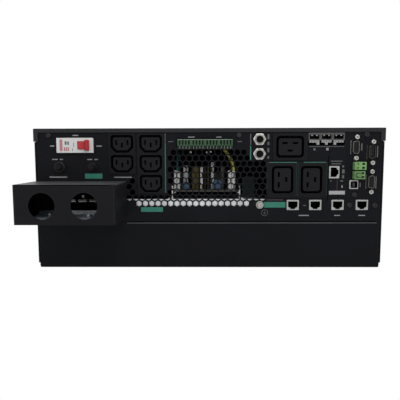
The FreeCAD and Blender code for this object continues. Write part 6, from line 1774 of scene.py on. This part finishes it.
@dataclass(frozen=True)
class FilterWiring(Assembly):
    """The loose wires and the sleeves on the filter board.

    Attributes:
        earth: Route of the striped earth wire.
        neutral: Route of the teal wire.
        jumper: Route of the dark wire between the two green plugs.
        stripe: Side faces of the earth wire that are green.
        sleeves: (left, right, distance back, height, whether it is white) of each sleeve.
        rank: Distance from the panel's face to the first row of sleeves.
        sleeve: Length of a sleeve along y.
        posts: x and z of each white post of the header.
    """

    earth: tuple[tuple[float, float, float], ...] = (
        (31.3, -275.0, 121.2), (31.3, -275.0, 129.5), (25.4, -273.5, 141.5), (15.8, -272.0, 152.6),
        (12.0, -271.0, 161.5), (12.0, -271.0, 170.0))
    neutral: tuple[tuple[float, float, float], ...] = (
        (-39.6, -275.0, 121.2), (-39.8, -275.0, 133.0), (-39.6, -268.4, 142.0), (-38.0, -250.5, 152.0),
        (-38.0, -240.5, 160.0))
    jumper: tuple[tuple[float, float, float], ...] = (
        (187.3, -295.5, 118.7), (187.1, -301.1, 118.7), (183.3, -302.9, 119.2), (178.3, -302.1, 118.4),
        (177.8, -301.9, 114.4), (182.8, -302.7, 113.5), (187.1, -301.1, 113.9), (187.3, -295.5, 113.9))
    stripe: tuple[int, ...] = (2, 3, 4, 10, 11, 12)
    sleeves: tuple[tuple[float, float, float, float, bool], ...] = (
        (-44.0, -40.7, 0.0, 25.0, True), (-40.1, -36.3, 0.0, 24.2, True), (-32.8, -26.3, 10.0, 30.9, False),
        (-10.6, -7.3, 2.0, 29.0, True), (3.0, 6.8, 8.0, 35.0, False), (24.6, 28.7, 0.0, 24.6, True),
        (29.1, 33.6, 0.0, 24.2, True))
    rank: float = 12.0
    sleeve: float = 7.0
    posts: tuple[tuple[float, float], ...] = ((-22.6, 145.0), (-2.5, 144.4), (2.6, 145.3))

    def build(self, library: MaterialLibrary) -> None:
        """Make the three wires and then the sleeves.

        Args:
            library: Source of the materials.
        """
        piece = Piece("hook_up_wires_look")
        points, faces = tube(smooth_path(self.earth), 2.0, 16)
        green = [len(face) == 4 and min(face) % 16 in self.stripe for face in faces]
        for look, wanted in ((Look.YELLOW_WIRE, False), (Look.GREEN_WIRE, True)):
            piece.add(look, (points, [face for face, striped in zip(faces, green) if striped is wanted]))
        piece.add(Look.TEAL_WIRE, tube(smooth_path(self.neutral), 1.5))
        piece.add(Look.DARK_WIRE, tube(smooth_path(self.jumper), 0.58))
        piece.build(library, "hook_up_wires", "wire_skin")
        self._sleeves(library)

    def _sleeves(self, library: MaterialLibrary) -> None:
        """Make the white and grey sleeves and the header's posts.

        Args:
            library: Source of the materials.
        """
        base = node_box("white_sleeves")[0][2]
        piece = Piece("white_sleeves_look")
        for x0, x1, back, height, white in self.sleeves:
            x, y = (x0 + x1) / 2, REAR + self.rank + back + self.sleeve / 2
            plan = rectangle(x, y, x1 - x0, self.sleeve, 0.9, 3)
            neck = rectangle(x, y - 0.05, (x1 - x0) * 0.55, self.sleeve - 0.1, 0.6, 3)
            piece.add(Look.SLEEVE if white else Look.GREY_SLEEVE, flat_on([plan], base + height, height, 0.6),
                      flat_on([neck], base + height - 0.2, 3.0, 0.3))
        for x, z in self.posts:
            piece.add(Look.SLEEVE, lathe([(0.9, 0.0), (1.2, 0.3), (1.2, 5.0)], (x, REAR + 18.0, z), 16))
            piece.add(Look.GAP, block((x - 1.0, REAR + 22.5, base), (x + 1.0, REAR + 23.5, z + 1.2), 0.2))
        piece.build(library, "white_sleeves", "sleeve_white")


# Printed fields and painted shade

Field = tuple[float, float, float, float]

# Each face's fields by ink: left, right, lower and upper limit. The dark teal strips along the sides of the large
# outlets are teal print darkened with painted shade, and the near-black strip beside the network card is a painted
# shadow of its left edge.
FIELDS: dict[str, dict[Look, tuple[Field, ...]]] = {
    "rear_panel": {
        Look.TEAL_PRINT: ((68.9, 95.4, 75.9, 82.9), (-84.6, -57.2, 70.7, 76.6), (-153.6, -132.0, 112.3, 118.6),
            (50.9, 52.3, 134.8, 152.2)),
        Look.TEAL_LINE: ((-54.2, -53.0, 94.6, 153.0),),
        Look.FAINT_PRINT: ((-54.0, -53.1, 153.0, 168.0), (51.0, 52.1, 153.2, 167.2), (-49.8, -43.7, 157.3, 158.2),
            (35.5, 40.7, 157.0, 158.0), (72.2, 74.4, 160.3, 166.4), (72.2, 74.4, 153.3, 156.9),
            (72.2, 74.4, 144.5, 149.4), (72.2, 74.4, 136.6, 139.6), (186.8, 188.5, 146.2, 154.9),
            (206.4, 207.8, 137.9, 151.9), (205.8, 207.1, 99.6, 114.4), (186.4, 187.8, 101.4, 106.9),
            (117.5, 120.7, 78.0, 79.0), (128.5, 131.3, 146.5, 149.2), (160.3, 162.9, 146.5, 149.2),
            (123.4, 166.2, 150.8, 151.5)),
        # Teal strips beside the large outlets, darkened: print with painted shade.
        Look.TEAL_SHADE: ((71.9, 72.7, 93.0, 133.0), (145.5, 146.3, 90.0, 131.8)),
        # Near-black strip beside the network card: painted shadow of its left edge.
        Look.GAP: ((146.9, 147.7, 84.0, 139.8),),
        Look.PALE_PRINT: ((-117.6, -95.5, 113.3, 114.6), (-167.6, -160.6, 164.9, 166.3),
            (-195.8, -190.8, 151.9, 153.5), (-138.8, -131.9, 151.7, 153.2), (-193.9, -187.2, 135.6, 136.9),
            (-184.7, -180.5, 135.6, 136.9), (-150.4, -144.1, 135.4, 136.7), (-141.5, -137.0, 135.4, 136.6),
            (-197.9, -176.0, 113.5, 115.1), (-25.4, -17.3, 162.5, 163.8), (9.2, 15.8, 162.5, 163.7),
            (112.0, 124.8, 65.4, 66.7), (156.2, 163.5, 65.4, 66.6), (186.1, 194.7, 65.4, 66.6),
            (144.2, 147.2, 146.6, 149.6)),
        Look.RED_LINE: ((72.2, 92.3, 85.0, 86.0),),
    },
    "large_outlet_pair": {
        Look.TEAL_LINE: ((73.9, 108.4, 131.5, 132.4), (116.8, 144.0, 131.5, 132.4)),
        # Teal strips beside the gap between the plates, darkened: print with painted shade.
        Look.TEAL_SHADE: ((107.8, 108.5, 90.0, 131.0), (109.7, 110.4, 90.0, 131.0)),
    },
    "network_card": {
        Look.FAINT_PRINT: ((150.3, 164.3, 132.8, 133.8), (151.1, 162.7, 129.6, 130.6),
            (164.2, 166.5, 125.7, 128.1), (164.3, 167.4, 118.3, 123.2), (164.5, 166.9, 112.1, 116.1),
            (150.2, 151.6, 108.2, 109.7), (162.3, 165.8, 108.2, 109.7)),
        Look.PALE_PRINT: ((164.0, 165.5, 100.5, 103.7),),
        Look.WHITE_LABEL: ((148.8, 168.4, 92.2, 96.7),),
        Look.RED_LINE: ((158.3, 158.9, 97.0, 110.2),),
    },
    "breaker_body": {
        Look.RED_PRINT: ((-183.2, -179.7, 146.5, 160.8), (-178.1, -176.2, 146.5, 151.1),
            (-175.4, -173.8, 146.5, 151.1), (-172.9, -171.6, 146.5, 151.1)),
        Look.DARK_PRINT: ((-176.8, -174.5, 154.1, 158.3), (-173.6, -171.6, 154.1, 158.2),
            (-166.3, -165.6, 151.6, 156.8), (-167.8, -167.0, 146.8, 149.7)),
    },
}


@dataclass(frozen=True)
class PrintedFields(Assembly):
    """The plain printed fields on the faces of the rear, among them strips of painted shade, and the ringed earth
    mark.

    Attributes:
        thick: Thickness of the ink.
        mark: x and z of the earth mark.
        ring: Outer and inner radius of its ring.
        bars: Width of each of its level bars and its height over the middle.
        line: Width of its lines.
    """

    thick: float = 0.06
    mark: tuple[float, float] = (69.7, 69.5)
    ring: tuple[float, float] = (4.1, 3.6)
    bars: tuple[tuple[float, float], ...] = ((3.6, -0.2), (2.4, -1.2), (1.2, -2.2))
    line: float = 0.4

    def build(self, library: MaterialLibrary) -> None:
        """Lay every field on its face.

        Args:
            library: Source of the materials.
        """
        piece = Piece("printed_fields")
        for node, inks in FIELDS.items():
            face = node_box(node)[0][1]
            for look, fields in inks.items():
                loops = [rectangle((x0 + x1) / 2, (z0 + z1) / 2, x1 - x0, z1 - z0) for x0, x1, z0, z1 in fields]
                piece.add(look, *(prism([loop], face - self.thick, face) for loop in loops))
        x, z = self.mark
        marks = [[circle(x, z, radius, 40) for radius in self.ring]]
        marks.extend([rectangle(x, z + dz, width, self.line)] for width, dz in self.bars)
        marks.append([rectangle(x, z + 1.2, self.line, 2.6)])
        piece.add(Look.FAINT_PRINT, *(prism(loops, REAR - self.thick, REAR) for loops in marks))
        piece.build(library)


# Studio

@dataclass(frozen=True)
class View:
    """The photograph's camera, fitted to standard distances on the rear panel.

    Attributes:
        x: Place along the panel.
        distance: Distance from the rear panel.
        z: Height.
        yaw: Turn to the right in radians.
        pitch: Tilt down in radians.
        roll: Roll in radians.
        lens: Focal length for a 36 mm sensor.
    """

    x: float = -4.015
    distance: float = 557.877
    z: float = 141.677
    yaw: float = -0.012265
    pitch: float = 0.100392
    roll: float = -0.0023627
    lens: float = 40.513

    def place(self) -> None:
        """Create the camera and make it the scene's."""
        data = bpy.data.cameras.new("camera")
        data.sensor_width, data.lens, data.clip_start = 36.0, self.lens, 0.01
        camera = bpy.data.objects.new("camera", data)
        level = math.cos(self.pitch)
        ahead = Vector((math.sin(self.yaw) * level, math.cos(self.yaw) * level, -math.sin(self.pitch)))
        flat_right = ahead.cross(Vector(UP)).normalized()
        flat_up = flat_right.cross(ahead)
        right = flat_right * math.cos(self.roll) + flat_up * math.sin(self.roll)
        turn = Matrix((right, right.cross(ahead), -ahead)).transposed().to_4x4()
        place = Vector((self.x, REAR - self.distance, self.z)) * MM
        camera.matrix_world = Matrix.Translation(place) @ turn
        bpy.context.scene.collection.objects.link(camera)
        bpy.context.scene.camera = camera


@dataclass(frozen=True)
class Lamp:
    """A soft rectangular light.

    Attributes:
        name: Its name.
        place: Its place in metres.
        aim: The point that it faces, in metres.
        size: Width and height in metres.
        power: Power in watts.
    """

    name: str
    place: tuple[float, float, float]
    aim: tuple[float, float, float]
    size: tuple[float, float]
    power: float

    def light(self) -> None:
        """Create the light."""
        data = bpy.data.lights.new(self.name, "AREA")
        data.shape = "RECTANGLE"
        data.size, data.size_y = self.size
        data.energy = self.power
        light = bpy.data.objects.new(self.name, data)
        light.location = self.place
        light.rotation_euler = (Vector(self.aim) - Vector(self.place)).to_track_quat("-Z", "Y").to_euler()
        bpy.context.scene.collection.objects.link(light)


@dataclass(frozen=True)
class Studio:
    """The pale floor, the white surroundings and the soft lights.

    Attributes:
        lamps: The lights.
        reach: Distance from the middle to the floor's edges, in metres.
        drop: How far the floor lies under the object, in metres.
        floor: Colour of the floor where it isn't seen.
        sky: Colour of the surroundings where they aren't seen.
        strength: Strength of the surroundings' light.
    """

    lamps: tuple[Lamp, ...] = (
        Lamp("low", (-0.10, -1.9, 0.42), (-0.06, -0.29, 0.10), (1.0, 0.5), 1.6),
        Lamp("key", (0.5, -1.6, 1.5), (0.0, -0.25, 0.09), (1.6, 1.0), 15.0),
        Lamp("top", (0.0, 0.1, 1.9), (0.0, 0.0, 0.17), (2.2, 2.2), 18.0),
        Lamp("left", (-1.7, -1.0, 0.8), (0.0, -0.2, 0.08), (1.0, 1.0), 8.0),
        Lamp("front", (0.9, 2.0, 1.1), (0.0, 0.3, 0.09), (1.4, 1.2), 18.0))
    reach: float = 6.0
    drop: float = 0.0002
    floor: Colour = (0.85, 0.85, 0.85)
    sky: Colour = (0.93, 0.96, 1.0)
    strength: float = 0.30

    def build(self) -> None:
        """Set up the colours of the picture, the surroundings, the floor and the lights."""
        scene = bpy.context.scene
        scene.view_settings.view_transform = "Standard"
        scene.world = bpy.data.worlds.new("studio")
        scene.world.use_nodes = True
        tree = scene.world.node_tree
        dim = tree.nodes["Background"]
        dim.inputs["Color"].default_value = (*self.sky, 1)
        dim.inputs["Strength"].default_value = self.strength
        white = add_node(tree.nodes, "Background", {"Color": (1, 1, 1, 1)})
        self._show_white(tree, dim.outputs[0], white.outputs[0], tree.nodes["World Output"])
        self._floor(scene)
        for lamp in self.lamps:
            lamp.light()

    def _floor(self, scene: bpy.types.Scene) -> None:
        """Make the floor, which shows white and reflects softly.

        Args:
            scene: The scene.
        """
        material = bpy.data.materials.new("floor")
        material.use_nodes = True
        tree = material.node_tree
        shader = tree.nodes["Principled BSDF"]
        shader.inputs["Base Color"].default_value = (*self.floor, 1)
        shader.inputs["Roughness"].default_value = 0.9
        white = add_node(tree.nodes, "Emission", {"Strength": 1.0})
        self._show_white(tree, shader.outputs[0], white.outputs[0], tree.nodes["Material Output"])
        r = self.reach
        mesh = bpy.data.meshes.new("floor")
        mesh.from_pydata([(-r, -r, 0), (r, -r, 0), (r, r, 0), (-r, r, 0)], [], [(0, 1, 2, 3)])
        mesh.materials.append(material)
        floor = bpy.data.objects.new("floor", mesh)
        floor.location.z = -self.drop
        scene.collection.objects.link(floor)

    def _show_white(self, tree: bpy.types.NodeTree, plain: bpy.types.NodeSocket, white: bpy.types.NodeSocket,
                    out: bpy.types.Node) -> None:
        """Show white to camera, glossy and transmission rays, and the plain shader to the others.

        Args:
            tree: The node tree.
            plain: Socket of the plain shader.
            white: Socket of the white shader.
            out: Output node of the tree.
        """
        seen = add_node(tree.nodes, "LightPath")
        share = seen.outputs["Is Camera Ray"]
        for kind in ("Is Glossy Ray", "Is Transmission Ray"):
            join = add_node(tree.nodes, "Math", operation="MAXIMUM")
            tree.links.new(share, join.inputs[0])
            tree.links.new(seen.outputs[kind], join.inputs[1])
            share = join.outputs["Value"]
        mix = add_node(tree.nodes, "MixShader")
        for socket, target in zip((share, plain, white), mix.inputs):
            tree.links.new(socket, target)
        tree.links.new(mix.outputs["Shader"], out.inputs["Surface"])


# The whole object

ASSEMBLIES: tuple[Assembly, ...] = (
    MainsBlock("outlet_block_left", SMALL, (155.0, 130.5)),
    MainsBlock("outlet_block_right", SMALL, (155.0, 130.5, 106.0)),
    MainsBlock("large_outlet_top", LARGE_FLAT, (150.9,)),
    MainsBlock("large_outlet_pair", LARGE_UPRIGHT, (110.5,), columns=2),
    BreakerToggle(), ResetBreakers(), SignalPlugs(), ShieldedPorts(), SerialSockets(), DataJacks(), SquareSocket(),
    StopPlugs(), EarthScrew(), WiringBox(), CaseTrim(), FilterWiring(), PrintedFields(),
)


def dress_nodes(library: MaterialLibrary) -> None:
    """Give every CAD node its material.

    Args:
        library: Source of the materials.
    """
    looks = {name: look for look, names in NODES_BY_LOOK.items() for name in names}
    for name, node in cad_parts.items():
        material = library.get(looks[name])
        if not node.material_slots:
            node.data.materials.append(material)
        for slot in node.material_slots:
            slot.material = material


def main() -> None:
    """Set the studio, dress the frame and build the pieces."""
    logging.basicConfig(level=logging.INFO, format="%(message)s")
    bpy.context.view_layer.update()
    View().place()
    Studio().build()
    library = MaterialLibrary()
    dress_nodes(library)
    for assembly in ASSEMBLIES:
        assembly.build(library)


if __name__ == "__main__":
    main()
